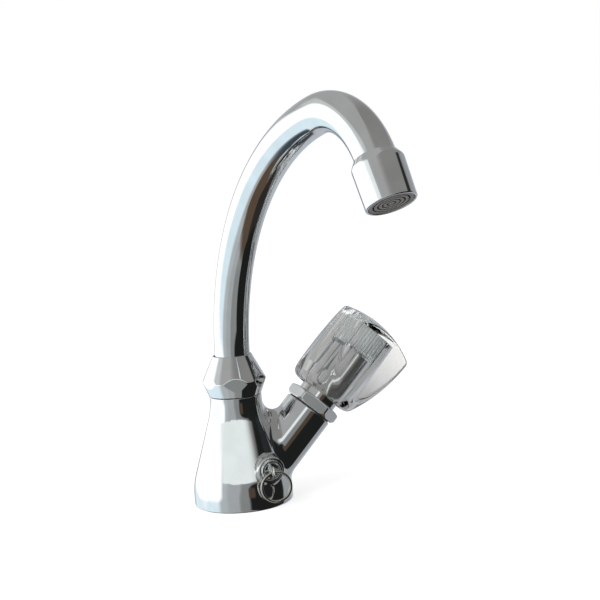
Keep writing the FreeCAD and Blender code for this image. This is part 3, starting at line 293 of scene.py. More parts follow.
def rounded_outline(corners):
    """Points and outward normals of a closed outline of (radius, height, rounding) corners."""
    points = []
    normals = []
    for i, (*spot, rounding) in enumerate(corners):
        before = np.array(corners[i - 1][:2], float)
        here = np.array(spot, float)
        after = np.array(corners[(i + 1) % len(corners)][:2], float)
        come = (here - before) / np.linalg.norm(here - before)
        leave = (after - here) / np.linalg.norm(after - here)
        bend = math.atan2(come[0] * leave[1] - come[1] * leave[0], float(come @ leave))
        cut = rounding * abs(math.tan(bend / 2))
        facing = np.array([come[1], -come[0]])
        bulge = math.copysign(rounding, bend)
        centre = here - come * cut - facing * bulge
        steps = max(1, math.ceil(abs(bend) / ARC_STEP))
        for step in range(steps + 1):
            angle = bend * step / steps
            c, s = math.cos(angle), math.sin(angle)
            normal = np.array([facing[0] * c - facing[1] * s, facing[0] * s + facing[1] * c])
            points.append(centre + normal * bulge)
            normals.append(normal)
    return np.array(points), np.array(normals)


def turned(pairs, sides):
    """Turn (radius, height) pairs about the Z axis into rings of points."""
    angles = np.arange(sides) * 2 * math.pi / sides
    x = pairs[:, :1] * np.cos(angles)
    y = pairs[:, :1] * np.sin(angles)
    return np.stack([x, y, np.repeat(pairs[:, 1:], sides, 1)], -1).reshape(-1, 3)


def lathe(name, corners, where, rides, slot, nodes, material, sides=SIDES):
    """Turn a closed outline about the frame's Z axis."""
    points, outward = rounded_outline(corners)
    points[:, 0] = np.maximum(points[:, 0], 0.0)
    rows = len(points)
    faces = []
    for row in range(rows):
        after = (row + 1) % rows
        if max(points[row, 0], points[after, 0]) >= TINY:
            faces += band(row * sides, after * sides, sides)
    new_piece(name, turned(points, sides), faces, turned(outward, sides), where, rides, slot, nodes, material)


def corner_cut(corner, cells):
    """The part of a grid that one corner of its cells runs over."""
    return tuple(slice(first, first + count) for first, count in zip(corner, cells))


def crossed_cells(grid, values):
    """Which cells of a grid the surface crosses, and the mean of the points where it cuts their edges."""
    cells = tuple(n - 1 for n in values.shape)
    total = np.zeros(cells + (3,))
    hits = np.zeros(cells)
    for start in np.ndindex(2, 2, 2):
        for axis in (2, 1, 0):
            if start[axis] == 1:
                continue
            end = [start[n] + (n == axis) for n in range(3)]
            here = corner_cut(start, cells)
            there = corner_cut(end, cells)
            cuts = (values[here] < 0) != (values[there] < 0)
            drop = np.where(cuts, values[here] - values[there], 1)
            share = np.where(cuts, values[here] / drop, 0)[..., None]
            total += np.where(cuts[..., None], grid[here] + share * (grid[there] - grid[here]), 0)
            hits += cuts
    active = hits > 0
    return active, total[active] / hits[active][:, None]


def quads_round_cuts(inside, number):
    """A quad round each grid edge that the surface cuts, made of the numbers of the cells about it."""
    faces = []
    for axis in range(3):
        one, two = (axis + 1) % 3, (axis + 2) % 3
        lead = [slice(1, -1)] * 3
        lead[axis] = slice(0, -1)
        tail = [slice(1, -1)] * 3
        tail[axis] = slice(1, None)
        change = inside[tuple(lead)].astype(int) - inside[tuple(tail)].astype(int)
        for sign in (1, -1):
            cells = np.argwhere(change == sign)
            quad = []
            for step_one, step_two in ((0, 0), (1, 0), (1, 1), (0, 1)):
                cell = cells.copy()
                cell[:, one] += step_one
                cell[:, two] += step_two
                quad.append(number[tuple(cell.T)])
            faces += np.stack(quad[::sign], -1).tolist()
    return faces


def skin(name, field, box, cell, where, rides, slot, nodes, material):
    """Mesh the surface where a distance field is zero, with true positions and normals."""
    low, high = box
    axes = [np.arange(low[k], high[k] + cell, cell) for k in range(3)]
    grid = np.stack(np.meshgrid(*axes, indexing="ij"), -1)
    values = field(grid.reshape(-1, 3)).reshape(grid.shape[:3])
    active, spots = crossed_cells(grid, values)
    number = np.full(active.shape, -1)
    number[active] = np.arange(len(spots))
    faces = quads_round_cuts(values < 0, number)
    verts, normals = settle(field, spots)
    new_piece(name, verts, faces, normals, where, rides, slot, nodes, material)


def gradient(field, points):
    """How a distance field changes along the three axes."""
    out = np.empty_like(points)
    for k in range(3):
        shift = np.zeros(3)
        shift[k] = GRADIENT_STEP
        out[:, k] = (field(points + shift) - field(points - shift)) / (2 * GRADIENT_STEP)
    return out


def settle(field, points):
    """Move points onto the surface, and give the surface's normals there."""
    for _ in range(SETTLE_ROUNDS):
        slope = gradient(field, points)
        steepness = np.maximum((slope ** 2).sum(1), LEAST_SLOPE)
        move = np.clip(field(points) / steepness, -LARGEST_MOVE, LARGEST_MOVE)
        points = points - move[:, None] * slope
    slope = gradient(field, points)
    return points, slope / np.maximum(np.linalg.norm(slope, axis=1), TINY)[:, None]


# Distance fields, in millimetres

def round_union(one, two, cosine, radius):
    """Join two shapes with a rolling-ball fillet. The cosine is between their normals."""
    a = one - radius
    b = two - radius
    c = np.clip(cosine, -CLOSEST_NORMALS, CLOSEST_NORMALS)
    spread = 1 - c * c
    alpha = (a - c * b) / spread
    beta = (b - c * a) / spread
    ball = np.sqrt(np.maximum(a * a + b * b - 2 * c * a * b, 0) / spread)
    return np.where((alpha < 0) & (beta < 0), radius - ball, np.minimum(one, two))


def round_meet(one, two, radius):
    """Keep what is in both shapes, with the shared edge rounded."""
    a = np.maximum(one + radius, 0)
    b = np.maximum(two + radius, 0)
    return np.minimum(np.maximum(one, two), -radius) + np.sqrt(a * a + b * b)


def cone(rho, z, radius, level, slope):
    """How far out a point is, measured level, from a cone with a radius at a level that widens by a slope."""
    return rho - radius - (z - level) * slope


def rod(rho, z, radius, foot, top):
    """A plain cylinder between two levels."""
    return np.maximum(rho - radius, np.maximum(foot - z, z - top))


def hexagon(points, flats, first):
    """Signed distance to six flats, the first of which faces an angle in degrees."""
    angles = [math.radians(first + 60 * step) for step in range(6)]
    walls = [points[:, 0] * math.cos(angle) + points[:, 1] * math.sin(angle) for angle in angles]
    return np.max(walls, axis=0) - flats / 2


def foot_radius(z):
    """Radius of the foot and neck at a height, with both blends."""
    slope = (BASE_R - NECK_R) / (NECK_Z - BASE_WALL_Z)
    lean = math.atan(slope)
    low_cut = BASE_BLEND_R * math.tan(lean / 2)
    high_cut = NECK_BLEND_R * math.tan(lean / 2)
    low_from = BASE_WALL_Z - low_cut
    low_to = BASE_WALL_Z + low_cut * math.cos(lean)
    high_from = NECK_Z - high_cut * math.cos(lean)
    high_to = NECK_Z + high_cut
    low_rise = np.clip(z - low_from, 0, BASE_BLEND_R * ARC_SHARE)
    low_arc = BASE_R - BASE_BLEND_R + np.sqrt(BASE_BLEND_R ** 2 - low_rise ** 2)
    high_drop = np.clip(high_to - z, 0, NECK_BLEND_R * ARC_SHARE)
    high_arc = NECK_R + NECK_BLEND_R - np.sqrt(NECK_BLEND_R ** 2 - high_drop ** 2)
    out = np.where(z < low_from, BASE_R, BASE_R - (z - BASE_WALL_Z) * slope)
    out = np.where((z >= low_from) & (z < low_to), low_arc, out)
    out = np.where((z >= high_from) & (z < high_to), high_arc, out)
    return np.where(z >= high_to, NECK_R, out)


def foot_wall(points):
    """Signed distance to the flared foot's side, and the side's normal."""
    x, y, z = points.T
    rho = np.maximum(np.hypot(x, y), TINY)
    slope = (foot_radius(z + WALL_STEP) - foot_radius(z - WALL_STEP)) / (2 * WALL_STEP)
    steep = 1 / np.sqrt(1 + slope * slope)
    normal = np.stack([x / rho * steep, y / rho * steep, -slope * steep], -1)
    return (rho - foot_radius(z)) * steep, normal


def round_wall(points, where, radius):
    """Signed distance to a round wall about a frame's axis, its normal, and the distance along the axis."""
    x, y, along = to_frame(points, where).T
    rho = np.maximum(np.hypot(x, y), TINY)
    side = np.stack([x / rho, y / rho, np.zeros(len(rho))], -1)
    return rho - radius, side @ where[:3, :3].T, along


def body_field(points):
    """The flared foot with its arm and boss, the fillets between them, and the hollow and groove below."""
    z = points[:, 2]
    foot, foot_normal = foot_wall(points)
    arm, arm_normal, along = round_wall(points, ARM, ARM_R)
    arm = np.maximum(arm, ARM_START - along)
    solid = round_union(foot, arm, (foot_normal * arm_normal).sum(1), SADDLE_R)
    solid = round_meet(solid, along - ARM_END, ARM_EDGE_R)
    boss, boss_normal, out = round_wall(points, STAY, BOSS_R)
    boss = np.maximum(round_meet(boss, out, BOSS_EDGE_R), -BOSS_LEN - out)
    solid = round_union(solid, boss, (foot_normal * boss_normal).sum(1), BOSS_BLEND_R)
    solid = round_meet(solid, -z, FOOT_EDGE_R)
    solid = round_meet(solid, z - SHOULDER_Z, SHOULDER_EDGE_R)
    rho = np.hypot(points[:, 0], points[:, 1])
    hollow = np.maximum(rho - FOOT_HOLLOW_R, z - FOOT_HOLLOW_Z)
    groove = np.maximum(np.maximum(rho - GASKET_OUT_R, GASKET_IN_R - rho), z - GASKET_H)
    return np.maximum(np.maximum(solid, -hollow), -groove)


def nut_field(points):
    """Double cone with six flats and a stepped hole."""
    x, y, z = points.T
    rho = np.hypot(x, y)
    low_slope = (NUT_WIDE_R - NUT_FOOT_R) / (NUT_WIDE_Z - NUT_FOOT_Z)
    high_slope = (NUT_TOP_R - NUT_WIDE_R) / (NUT_TOP_Z - NUT_WIDE_Z)
    low_cone = cone(rho, z, NUT_FOOT_R, NUT_FOOT_Z, low_slope) / math.sqrt(1 + low_slope * low_slope)
    high_cone = cone(rho, z, NUT_WIDE_R, NUT_WIDE_Z, high_slope) / math.sqrt(1 + high_slope * high_slope)
    solid = round_meet(low_cone, high_cone, NUT_RIDGE_EDGE_R)
    solid = round_meet(solid, hexagon(points, NUT_FLATS, NUT_TURN_DEGREES), NUT_FLAT_EDGE_R)
    solid = round_meet(solid, z - NUT_TOP_Z, NUT_END_EDGE_R)
    solid = round_meet(solid, NUT_FOOT_Z - z, NUT_END_EDGE_R)
    solid = np.maximum(solid, NUT_BORE_R - rho)
    return np.maximum(solid, -np.maximum(rho - NUT_THREAD_R, z - NUT_SEAT_Z))


def bonnet_field(points):
    """The hexagon with its bevelled corners, the barrel that screws into the arm, and the neck."""
    x, y, z = points.T
    rho = np.hypot(x, y)
    head = round_meet(hexagon(points, HEX_FLATS, HEX_TURN_DEGREES), rho - HEX_CORNER_R, HEX_EDGE_R)
    foot_bevel = cone(rho, z, HEX_FOOT_R, HEX_FOOT, HEX_FOOT_SLOPE) * HEX_FOOT_STEEP
    top_bevel = cone(rho, z, HEX_TOP_R, HEX_TOP, HEX_TOP_SLOPE) * HEX_TOP_STEEP
    head = round_meet(head, foot_bevel, HEX_END_EDGE_R)
    head = round_meet(head, top_bevel, HEX_EDGE_R)
    head = round_meet(head, np.maximum(HEX_FOOT - z, z - HEX_TOP), HEX_END_EDGE_R)
    nose = rod(rho, z, NOSE_R, NOSE_FOOT, NOSE_TOP)
    barrel = rod(rho, z, BARREL_R, BARREL_FOOT, BARREL_TOP)
    neck = rod(rho, z, HEAD_NECK_R, HEAD_NECK_FOOT, HEAD_NECK_TOP)
    solid = np.minimum(np.minimum(head, barrel), np.minimum(nose, neck))
    hole_r = np.where(z < COLLAR_HOLE_TOP, COLLAR_HOLE_R, SPINDLE_HOLE_R)
    hole_r = np.where(z < PISTON_HOLE_TOP, PISTON_HOLE_R, hole_r)
    return np.maximum(solid, hole_r - rho)


def round_side(points):
    """Signed distance to the knob's side, which bulges about the axis and is farthest out at a level."""
    rho = np.hypot(points[:, 0], points[:, 1])
    return np.hypot(rho - KNOB_OUT + KNOB_SIDE_R, points[:, 2] - KNOB_SIDE_LEVEL) - KNOB_SIDE_R


def flat_side(points, angle):
    """Signed distance to one of the knob's three nearly flat sides, which faces an angle."""
    out = points[:, 0] * math.cos(angle) + points[:, 1] * math.sin(angle)
    return np.hypot(out - FACE_OUT + FACE_SIDE_R, points[:, 2] - FACE_LEVEL) - FACE_SIDE_R


def crown(points):
    """Signed distance to the knob's domed crown."""
    rise = KNOB_CROWN - KNOB_RIM
    rim_r = KNOB_OUT - KNOB_SIDE_R + math.sqrt(KNOB_SIDE_R ** 2 - (KNOB_RIM - KNOB_SIDE_LEVEL) ** 2)
    radius = (rim_r ** 2 + rise ** 2) / (2 * rise)
    return np.linalg.norm(points - np.array([0, 0, KNOB_CROWN - radius]), axis=1) - radius


def knob_hollow(rho, z):
    """Signed distance to the hollow that narrows to the foot, without the plug in its roof."""
    slope = (KNOB_CAVITY_R - KNOB_BORE_R) / (FUNNEL_TOP - FUNNEL_FOOT)
    wall = KNOB_BORE_R + np.clip(z - FUNNEL_FOOT, 0, FUNNEL_TOP - FUNNEL_FOOT) * slope
    hollow = np.maximum(rho - wall, z - KNOB_CAVITY_TOP)
    plug = np.maximum(rho - PLUG_R, PLUG_FOOT - z)
    return np.maximum(hollow, -plug)


def knob_field(points):
    """The bulged moulding with its crown, three sides and hollow."""
    rho = np.hypot(points[:, 0], points[:, 1])
    z = points[:, 2]
    solid = round_meet(round_side(points), crown(points), KNOB_RIM_EDGE_R)
    solid = round_meet(solid, KNOB_FOOT - z, KNOB_FOOT_EDGE_R)
    for turn in FACE_TURNS_DEGREES:
        solid = round_meet(solid, flat_side(points, math.radians(turn) - LOBE_TURN), FACE_EDGE_R)
    return np.maximum(solid, -knob_hollow(rho, z))


# Node helpers

def feed(tree, node, values):
    """Set or link a node's inputs by name or number. A colour is given as three numbers."""
    for key, value in values.items():
        socket = node.inputs[key]
        if isinstance(value, bpy.types.NodeSocket):
            tree.links.new(value, socket)
        elif socket.type == "RGBA":
            socket.default_value = (*value, 1)
        else:
            socket.default_value = value


def add_node(tree, kind, values, **settings):
    """Add a node with its settings and inputs."""
    node = tree.nodes.new(kind)
    for setting, value in settings.items():
        setattr(node, setting, value)
    feed(tree, node, values)
    return node


def show_by_ray(tree, mask, under, over):
    """Give a material one shader, and another where a ray's mask is 1."""
    mix = add_node(tree, "ShaderNodeMixShader", {0: mask, 1: under.outputs[0], 2: over.outputs[0]})
    feed(tree, tree.nodes["Material Output"], {"Surface": mix.outputs[0]})


def new_material(name):
    """A material with its node tree and its shader."""
    material = bpy.data.materials.new(name)
    material.use_nodes = True
    tree = material.node_tree
    return material, tree, tree.nodes["Principled BSDF"]


# Materials

# The part of a noise pattern's span that is spread over a range or a ramp
SPAN = (0.3, 0.7)
RAMP_SPAN = (0.35, 0.65)
ACRYLIC_IOR = 1.49
ACRYLIC_SHADOW = (0.82, 0.84, 0.84)


def noise(tree, scale, detail=4.0):
    """Noise in the object's own space, whose size is set per metre."""
    where = add_node(tree, "ShaderNodeTexCoord", {}).outputs["Object"]
    values = {"Vector": where, "Scale": scale, "Detail": detail}
    return add_node(tree, "ShaderNodeTexNoise", values).outputs["Fac"]


def ranged(tree, pattern, low, high):
    """Spread a pattern over a range of values."""
    values = {"Value": pattern, "From Min": SPAN[0], "From Max": SPAN[1], "To Min": low, "To Max": high}
    return add_node(tree, "ShaderNodeMapRange", values).outputs["Result"]


def tinted(tree, pattern, low, high):
    """A ramp between two colours."""
    ramp = add_node(tree, "ShaderNodeValToRGB", {"Fac": pattern})
    for element, position, colour in zip(ramp.color_ramp.elements, RAMP_SPAN, (low, high)):
        element.position = position
        element.color = (*colour, 1)
    return ramp.outputs["Color"]


def bumped(tree, pattern, strength, distance):
    """Normals of a surface that a pattern raises a little."""
    values = {"Height": pattern, "Strength": strength, "Distance": distance}
    return add_node(tree, "ShaderNodeBump", values).outputs["Normal"]


def chrome_plate(name, waves):
    """Mirror chrome, with the faint waviness of polished metal and a little haze."""
    material, tree, shader = new_material(name)
    haze = noise(tree, scale=90.0)
    swell = noise(tree, scale=waves, detail=1.0)
    feed(tree, shader, {
        "Metallic": 1.0,
        "Base Color": tinted(tree, haze, (0.80, 0.81, 0.82), (0.86, 0.87, 0.88)),
        "Roughness": ranged(tree, haze, 0.03, 0.07),
        "Normal": bumped(tree, swell, strength=0.25, distance=0.0002),
    })
    return material


def metal(name, low, high, rough):
    """Plain metal with a fine grain between two colours and two roughnesses."""
    material, tree, shader = new_material(name)
    grain = noise(tree, scale=600.0)
    feed(tree, shader, {
        "Metallic": 1.0,
        "Base Color": tinted(tree, grain, low, high),
        "Roughness": ranged(tree, grain, *rough),
        "Normal": bumped(tree, grain, strength=0.15, distance=0.00005),
    })
    return material


def clear_plastic(name, tint, rough, clear):
    """Clear or slightly milky plastic. Lamps shine through it, so that its shadow stays light."""
    material, tree, shader = new_material(name)
    haze = noise(tree, scale=40.0)
    feed(tree, shader, {
        "Base Color": tint,
        "Transmission Weight": clear,
        "IOR": ACRYLIC_IOR,
        "Roughness": ranged(tree, haze, *rough),
    })
    shadow = add_node(tree, "ShaderNodeBsdfTransparent", {"Color": ACRYLIC_SHADOW})
    ray = add_node(tree, "ShaderNodeLightPath", {})
    show_by_ray(tree, ray.outputs["Is Shadow Ray"], shader, shadow)
    return material


def moulded(name, low, high, rough, bump):
    """Moulded rubber, fibre or plastic."""
    material, tree, shader = new_material(name)
    grain = noise(tree, scale=900.0)
    feed(tree, shader, {
        "Base Color": tinted(tree, grain, low, high),
        "Roughness": ranged(tree, grain, *rough),
        "Normal": bumped(tree, grain, strength=bump, distance=0.0001),
    })
    return material


CHROME = chrome_plate("chrome", waves=35.0)
TUBE_CHROME = chrome_plate("tube_chrome", waves=18.0)
WIRE = metal("nickel_wire", (0.66, 0.63, 0.58), (0.76, 0.73, 0.68), rough=(0.10, 0.22))
STAINLESS = metal("stainless", (0.52, 0.52, 0.52), (0.66, 0.66, 0.66), rough=(0.22, 0.36))
BRASS = metal("brass", (0.62, 0.44, 0.20), (0.78, 0.58, 0.30), rough=(0.18, 0.32))
ACRYLIC = clear_plastic("clear_acrylic", (0.985, 0.99, 0.99), rough=(0.0, 0.01), clear=1.0)
INSERT = clear_plastic("insert_acrylic", (0.96, 0.97, 0.97), rough=(0.02, 0.03), clear=0.7)
RUBBER = moulded("black_rubber", (0.018, 0.018, 0.019), (0.035, 0.035, 0.036), rough=(0.50, 0.60), bump=0.3)
WHITE = moulded("white_plastic", (0.78, 0.78, 0.76), (0.84, 0.84, 0.82), rough=(0.37, 0.47), bump=0.1)
# The aerator parts have a grey of their own, darkened further to paint the shade inside the spout's mouth.
GREY_AND_MOUTH_SHADE = moulded("grey_plastic", (0.115, 0.108, 0.098), (0.16, 0.15, 0.137), rough=(0.35, 0.45), bump=0.1)
FIBRE = moulded("dark_fibre", (0.030, 0.026, 0.024), (0.055, 0.048, 0.044), rough=(0.55, 0.65), bump=0.4)

NODES_BY_MATERIAL = [
    (CHROME, ["body", "spout_nut", "outlet_housing", "bonnet", "headwork_sleeve", "chain_stay"]),
    (TUBE_CHROME, ["spout_tube"]),
    (WIRE, ["chain_ring"]),
    (ACRYLIC, ["knob", "index_cap"]),
    (INSERT, ["knob_insert"]),
    (BRASS, ["valve_seat", "spout_ferrule", "spindle", "valve_piston"]),
    (STAINLESS, ["spindle_circlip", "knob_screw", "washer_screw", "aerator_screen_upper",
                 "aerator_screen_lower"]),
    (RUBBER, ["base_gasket", "spout_o_ring_lower", "spout_o_ring_upper", "aerator_washer",
              "spindle_o_ring_lower", "spindle_o_ring_upper", "valve_washer"]),
    (WHITE, ["spout_slip_ring", "thrust_washer"]),
    (GREY_AND_MOUTH_SHADE, ["aerator_shell", "aerator_diffuser", "aerator_grid"]),
    (FIBRE, ["bonnet_seal"]),
]


def dress_nodes():
    """Give every solid of the source its material."""
    for material, names in NODES_BY_MATERIAL:
        for name in names:
            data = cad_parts[name].data
            data.materials.clear()
            data.materials.append(material)


# Fixed pieces

def make_body():
    """The cast body."""
    skin("body_casting", body_field, BODY_BOX, COARSE_CELL, WORLD, "fixed", "chrome", ["body"], CHROME)


def make_nut():
    """The nut that holds the spout."""
    skin("spout_nut_hexagon", nut_field, NUT_BOX, FINE_CELL, WORLD, "fixed", "chrome", ["spout_nut"], CHROME)


def make_bonnet():
    """The headwork in the arm."""
    skin("bonnet_hexagon", bonnet_field, BONNET_BOX, FINE_CELL, ARM, "fixed", "chrome", ["bonnet"], CHROME)


def make_sleeve():
    """The cylinder that stands on the hexagon, round the headwork's neck."""
    lathe("headwork_sleeve_tube", [
        (HEAD_NECK_R, HEX_TOP, 0.05),
        (SLEEVE_R, HEX_TOP, 0.3),
        (SLEEVE_R, SLEEVE_TOP, 0.2),
        (SLEEVE_IN_R, SLEEVE_TOP, 0.2),
        (SLEEVE_IN_R, SLEEVE_FLOOR, 0.2),
        (HEAD_NECK_R, SLEEVE_FLOOR, 0.1),
    ], ARM, "fixed", "chrome", ["headwork_sleeve"], CHROME)


# Spout pieces

def spout_path():
    """Points along the spout's centre line with their directions, in its plane."""
    spots = [(0.0, TUBE_FOOT_Z, 0.0)]
    spots += [(0.0, z, 0.0) for z in np.linspace(TUBE_FOOT_Z + FOOT_STEP, BEND_START_Z, STRAIGHT_STEPS)]
    for angle in np.linspace(0, LONG_BEND_END, BEND_STEPS + 1)[1:]:
        x = LONG_BEND_R * (1 - math.cos(angle))
        spots.append((x, BEND_START_Z + LONG_BEND_R * math.sin(angle), angle))
    for angle in np.linspace(LONG_BEND_END, SHORT_BEND_END, BEND_STEPS + 1)[1:]:
        x = SHORT_MID_X - SHORT_BEND_R * math.cos(angle)
        spots.append((x, SHORT_MID_Z + SHORT_BEND_R * math.sin(angle), angle))
    end = SHORT_BEND_END
    spots.append((BEND_END_X + TUBE_TAIL * math.sin(end), BEND_END_Z + TUBE_TAIL * math.cos(end), end))
    return spots


def tube_faces(rows):
    """Quads of an outer and an inner wall, which have this many rings each, and of both ends."""
    last = (rows - 1) * SIDES
    inner = rows * SIDES
    faces = []
    for start in range(0, last, SIDES):
        faces += band(start, start + SIDES, SIDES)
    for start in range(inner, inner + last, SIDES):
        faces += band(start + SIDES, start, SIDES)
    faces += band(0, inner, SIDES, inward=True)
    faces += band(inner + last, last, SIDES, inward=True)
    return faces


def make_tube():
    """The swan neck."""
    path = spout_path()
    angles = np.arange(SIDES) * 2 * math.pi / SIDES
    verts = []
    normals = []
    for radius, facing in ((TUBE_R, 1), (TUBE_R - TUBE_WALL, -1)):
        for x, z, lean in path:
            across = np.array([math.cos(lean), 0, -math.sin(lean)])
            ring = np.cos(angles)[:, None] * across + np.sin(angles)[:, None] * np.array([0, 1, 0])
            verts.append(np.array([x, 0, z]) + radius * ring)
            normals.append(facing * ring)
    new_piece("spout_swan_neck", np.concatenate(verts), tube_faces(len(path)), np.concatenate(normals), SPOUT,
              "spout", "chrome", ["spout_tube"], TUBE_CHROME)


def make_housing():
    """The outlet housing, with the web that the aerator seats on."""
    lathe("outlet_housing_shell", [
        (HOUSING_SOCKET_R, HOUSING_START, 0.05),
        (HOUSING_START_R, HOUSING_START, 0.1),
        (HOUSING_WIDE_R, HOUSING_WIDE, 3.0),
        (HOUSING_END_R, HOUSING_END, 0.55),
        (MOUTH_R, HOUSING_END, 0.35),
        (MOUTH_R, WEB_END, 0.1),
        (WEB_HOLE_R, WEB_END, 0.1),
        (WEB_HOLE_R, WEB_START, 0.1),
        (HOUSING_SOCKET_R, WEB_START, 0.1),
    ], OUTLET, "spout", "chrome", ["outlet_housing"], CHROME)


# Stay and ring

def wire_ring(ring_r, half_wide, half_thick, start, end, rise):
    """A bent wire of oval section, whose height changes along it."""
    steps = int(math.degrees(end - start) / WIRE_STEP_DEGREES)
    verts = []
    normals = []
    for step in range(steps + 1):
        angle = start + (end - start) * step / steps
        along_x, along_y = math.cos(angle), math.sin(angle)
        for k in range(WIRE_SIDES):
            turn = 2 * math.pi * k / WIRE_SIDES
            c, s = math.cos(turn), math.sin(turn)
            out = ring_r + half_wide * c
            verts.append((out * along_x, out * along_y, rise(angle) + half_thick * s))
            facing = Vector((c / half_wide * along_x, c / half_wide * along_y, s / half_thick))
            normals.append(facing.normalized())
    last = steps * WIRE_SIDES
    faces = []
    for first in range(0, last, WIRE_SIDES):
        faces += band(first, first + WIRE_SIDES, WIRE_SIDES, inward=True)
    faces.append(tuple(range(WIRE_SIDES)))
    faces.append(tuple(reversed(range(last, last + WIRE_SIDES))))
    return np.array(verts), faces, np.array(normals)


def flat_rise(angle):
    """The rise of a ring that lies flat."""
    return 0.0


def coil_rise(angle):
    """The rise of a ring of two turns, which crosses from one turn to the other in a short stretch."""
    middle = CROSSING_AT + 2 * math.pi
    share = min(max((angle - middle + CROSSING_HALF) / (2 * CROSSING_HALF), 0), 1)
    return -RING_PITCH / 2 + RING_PITCH * share * share * (3 - 2 * share)


def make_stay():
    """The cupped disc with its screw and stud, and the eye that stands on it."""
    lathe("chain_stay_disc", [
        (0.0, -STAY_SCREW_LEN, 0.0),
        (STAY_SCREW_R, -STAY_SCREW_LEN, 0.2),
        (STAY_SCREW_R, 0.0, 0.1),
        (STAY_R, 0.0, 0.5),
        (STAY_R, STAY_H, 0.5),
        (CUP_RIM_R, STAY_H, 0.4),
        (CUP_FLOOR_R, CUP_FLOOR_H, 0.4),
        (CUP_STUD_R, CUP_FLOOR_H, 0.3),
        (CUP_STUD_R, CUP_STUD_H, 0.3),
        (0.0, CUP_STUD_H, 0.0),
    ], STAY, "fixed", "chrome", ["chain_stay"], CHROME, sides=STAY_SIDES)
    wire = wire_ring(EYE_R, EYE_WIRE_R, EYE_WIRE_R, 0.0, 2 * math.pi, flat_rise)
    new_piece("chain_stay_eye", *wire, EYE, "fixed", "chrome", [], CHROME)


def make_ring():
    """Two turns of flattened wire that hang in the eye."""
    start = CROSSING_AT + CROSSING_HALF
    end = CROSSING_AT + 4 * math.pi - CROSSING_HALF
    wire = wire_ring(RING_R, RING_HALF_WIDE, RING_HALF_THICK, start, end, coil_rise)
    spot = (BOSS_SPOT[0] + RING_R * math.sin(RING_LEAN), BOSS_SPOT[1] - EYE_OUT,
            BOSS_SPOT[2] - RING_DROP - RING_R * math.cos(RING_LEAN))
    where = placed(spot, (1, 0, 0), (0, 0, 1), (0, -1, 0))
    new_piece("chain_ring_coil", *wire, where, "ring", "ring_wire", ["chain_ring"], WIRE)


# Knob

def make_knob():
    """The clear moulding, in one with its cap."""
    skin("knob_moulding", knob_field, KNOB_BOX, COARSE_CELL, ARM,
         "knob", "clear_plastic", ["knob", "index_cap"], ACRYLIC)


dress_nodes()
make_body()
make_nut()
make_bonnet()
make_sleeve()
make_tube()
make_housing()
make_stay()
make_ring()
make_knob()


# Stage, light and camera. Places and sizes are in metres, the lens and its sensor in millimetres.

FLOOR_SIZE = 6.0
FLOOR_TONE = 0.80
FLOOR_GLOW = 0.72
FLOOR_LIT_TONE = 0.40
PLAIN_LIGHT = 0.8
KEY_SPOT = Vector((-0.9, -0.5, 0.9))
KEY_TARGET = Vector((0.0, 0.0, 0.1))
KEY_SIZE = (0.8, 1.0)
KEY_POWER = 12.0
CAMERA_SPOT = Vector((-0.1682, -0.7276, 0.2046))
CAMERA_AZIMUTH = math.radians(16.15)
CAMERA_TILT = math.radians(-7.02)
CAMERA_ROLL = math.radians(-4.49)
CAMERA_LENS = 79.91
CAMERA_SENSOR = 36.0

# The room that the metal mirrors, in degrees: azimuths from the photograph's side, heights, softness and
# colour. A later patch covers an earlier one.
ROOM = [
    ("dome_right", (-5, 168), (2, 130), 12, (0.25, 0.25, 0.24)),
    ("window_glow", (-145, -55), (18, 38), 4.0, (0.62, 0.64, 0.63)),
    ("wall_far_left", (-230, -144), (-40, 19), 4.0, (0.50, 0.53, 0.57)),
    ("wall_back", (100, 170), (-52, 21), 4.0, (0.34, 0.355, 0.37)),
    ("wall_far", (146, 230), (-50, 21), 6.0, (0.50, 0.53, 0.58)),
    ("edge_far_left", (-230, -154), (-14, 14), 3.0, (0.36, 0.38, 0.42)),
    ("wall_left", (-66, -26), (-58, 24), 4.0, (0.48, 0.52, 0.53)),
    ("wall_front", (-36, 10), (-60, 24), 5.0, (0.41, 0.43, 0.44)),
    ("wall_near", (-6, 46), (-60, 21), 4.0, (0.255, 0.265, 0.26)),
    ("window_foot", (-150, -56), (-50, 6), 4.0, (0.80, 0.95, 1.02)),
    ("window_back", (-156, -110), (-10, 17), 2.5, (1.25, 1.25, 1.25)),
    ("window", (-130, -74), (-14, 29), 2.5, (1.25, 1.25, 1.25)),
    ("window_right", (-112, -49), (-14, 24), 3.0, (1.20, 1.22, 1.22)),
    ("high_window", (-74, 42), (16.5, 24.5), 1.8, (0.90, 0.95, 0.94)),
    ("ground_left", (-235, -106), (-63, -43), 2.0, (0.05, 0.065, 0.08)),
    ("ground_right", (56, 184), (-130, -50), 4.0, (0.028, 0.026, 0.024)),
    ("dark_wall", (15, 109), (-26, 15), 1.5, (0.013, 0.015, 0.014)),
    ("dark_wall_high", (46, 108), (2, 20), 1.5, (0.013, 0.015, 0.014)),
    ("dark_corner", (78, 110), (10, 31), 1.5, (0.022, 0.026, 0.028)),
    ("dark_floor", (35, 109), (-66, -8), 1.5, (0.013, 0.015, 0.014)),
    ("brown_wall", (14, 30), (-8, 8), 3.5, (0.080, 0.058, 0.042)),
]
DOME = (0.40, 0.40, 0.395)
GROUND = (0.105, 0.072, 0.048)
GROUND_EDGE = -58
GROUND_SOFT = 2
SWAY_SCALE = 2.5
SWAY = 0.10
LARGEST_BLUR = 0.9

# What cloudy plastic leaves of the room's contrast: a share of each colour, and a little light added
KEPT_SHARE = (0.86, 0.85, 0.835)
ADDED_LIGHT = (0.055, 0.054, 0.052)

# Sockets of a colour mix
MIX_UNDER = 6
MIX_OVER = 7
MIX_RESULT = 2


def maths(tree, operation, *values):
    """The result of a math node."""
    return add_node(tree, "ShaderNodeMath", dict(enumerate(values)), operation=operation).outputs[0]


def vector_maths(tree, operation, *values):
    """The result of a vector math node."""
    return add_node(tree, "ShaderNodeVectorMath", dict(enumerate(values)), operation=operation).outputs[0]


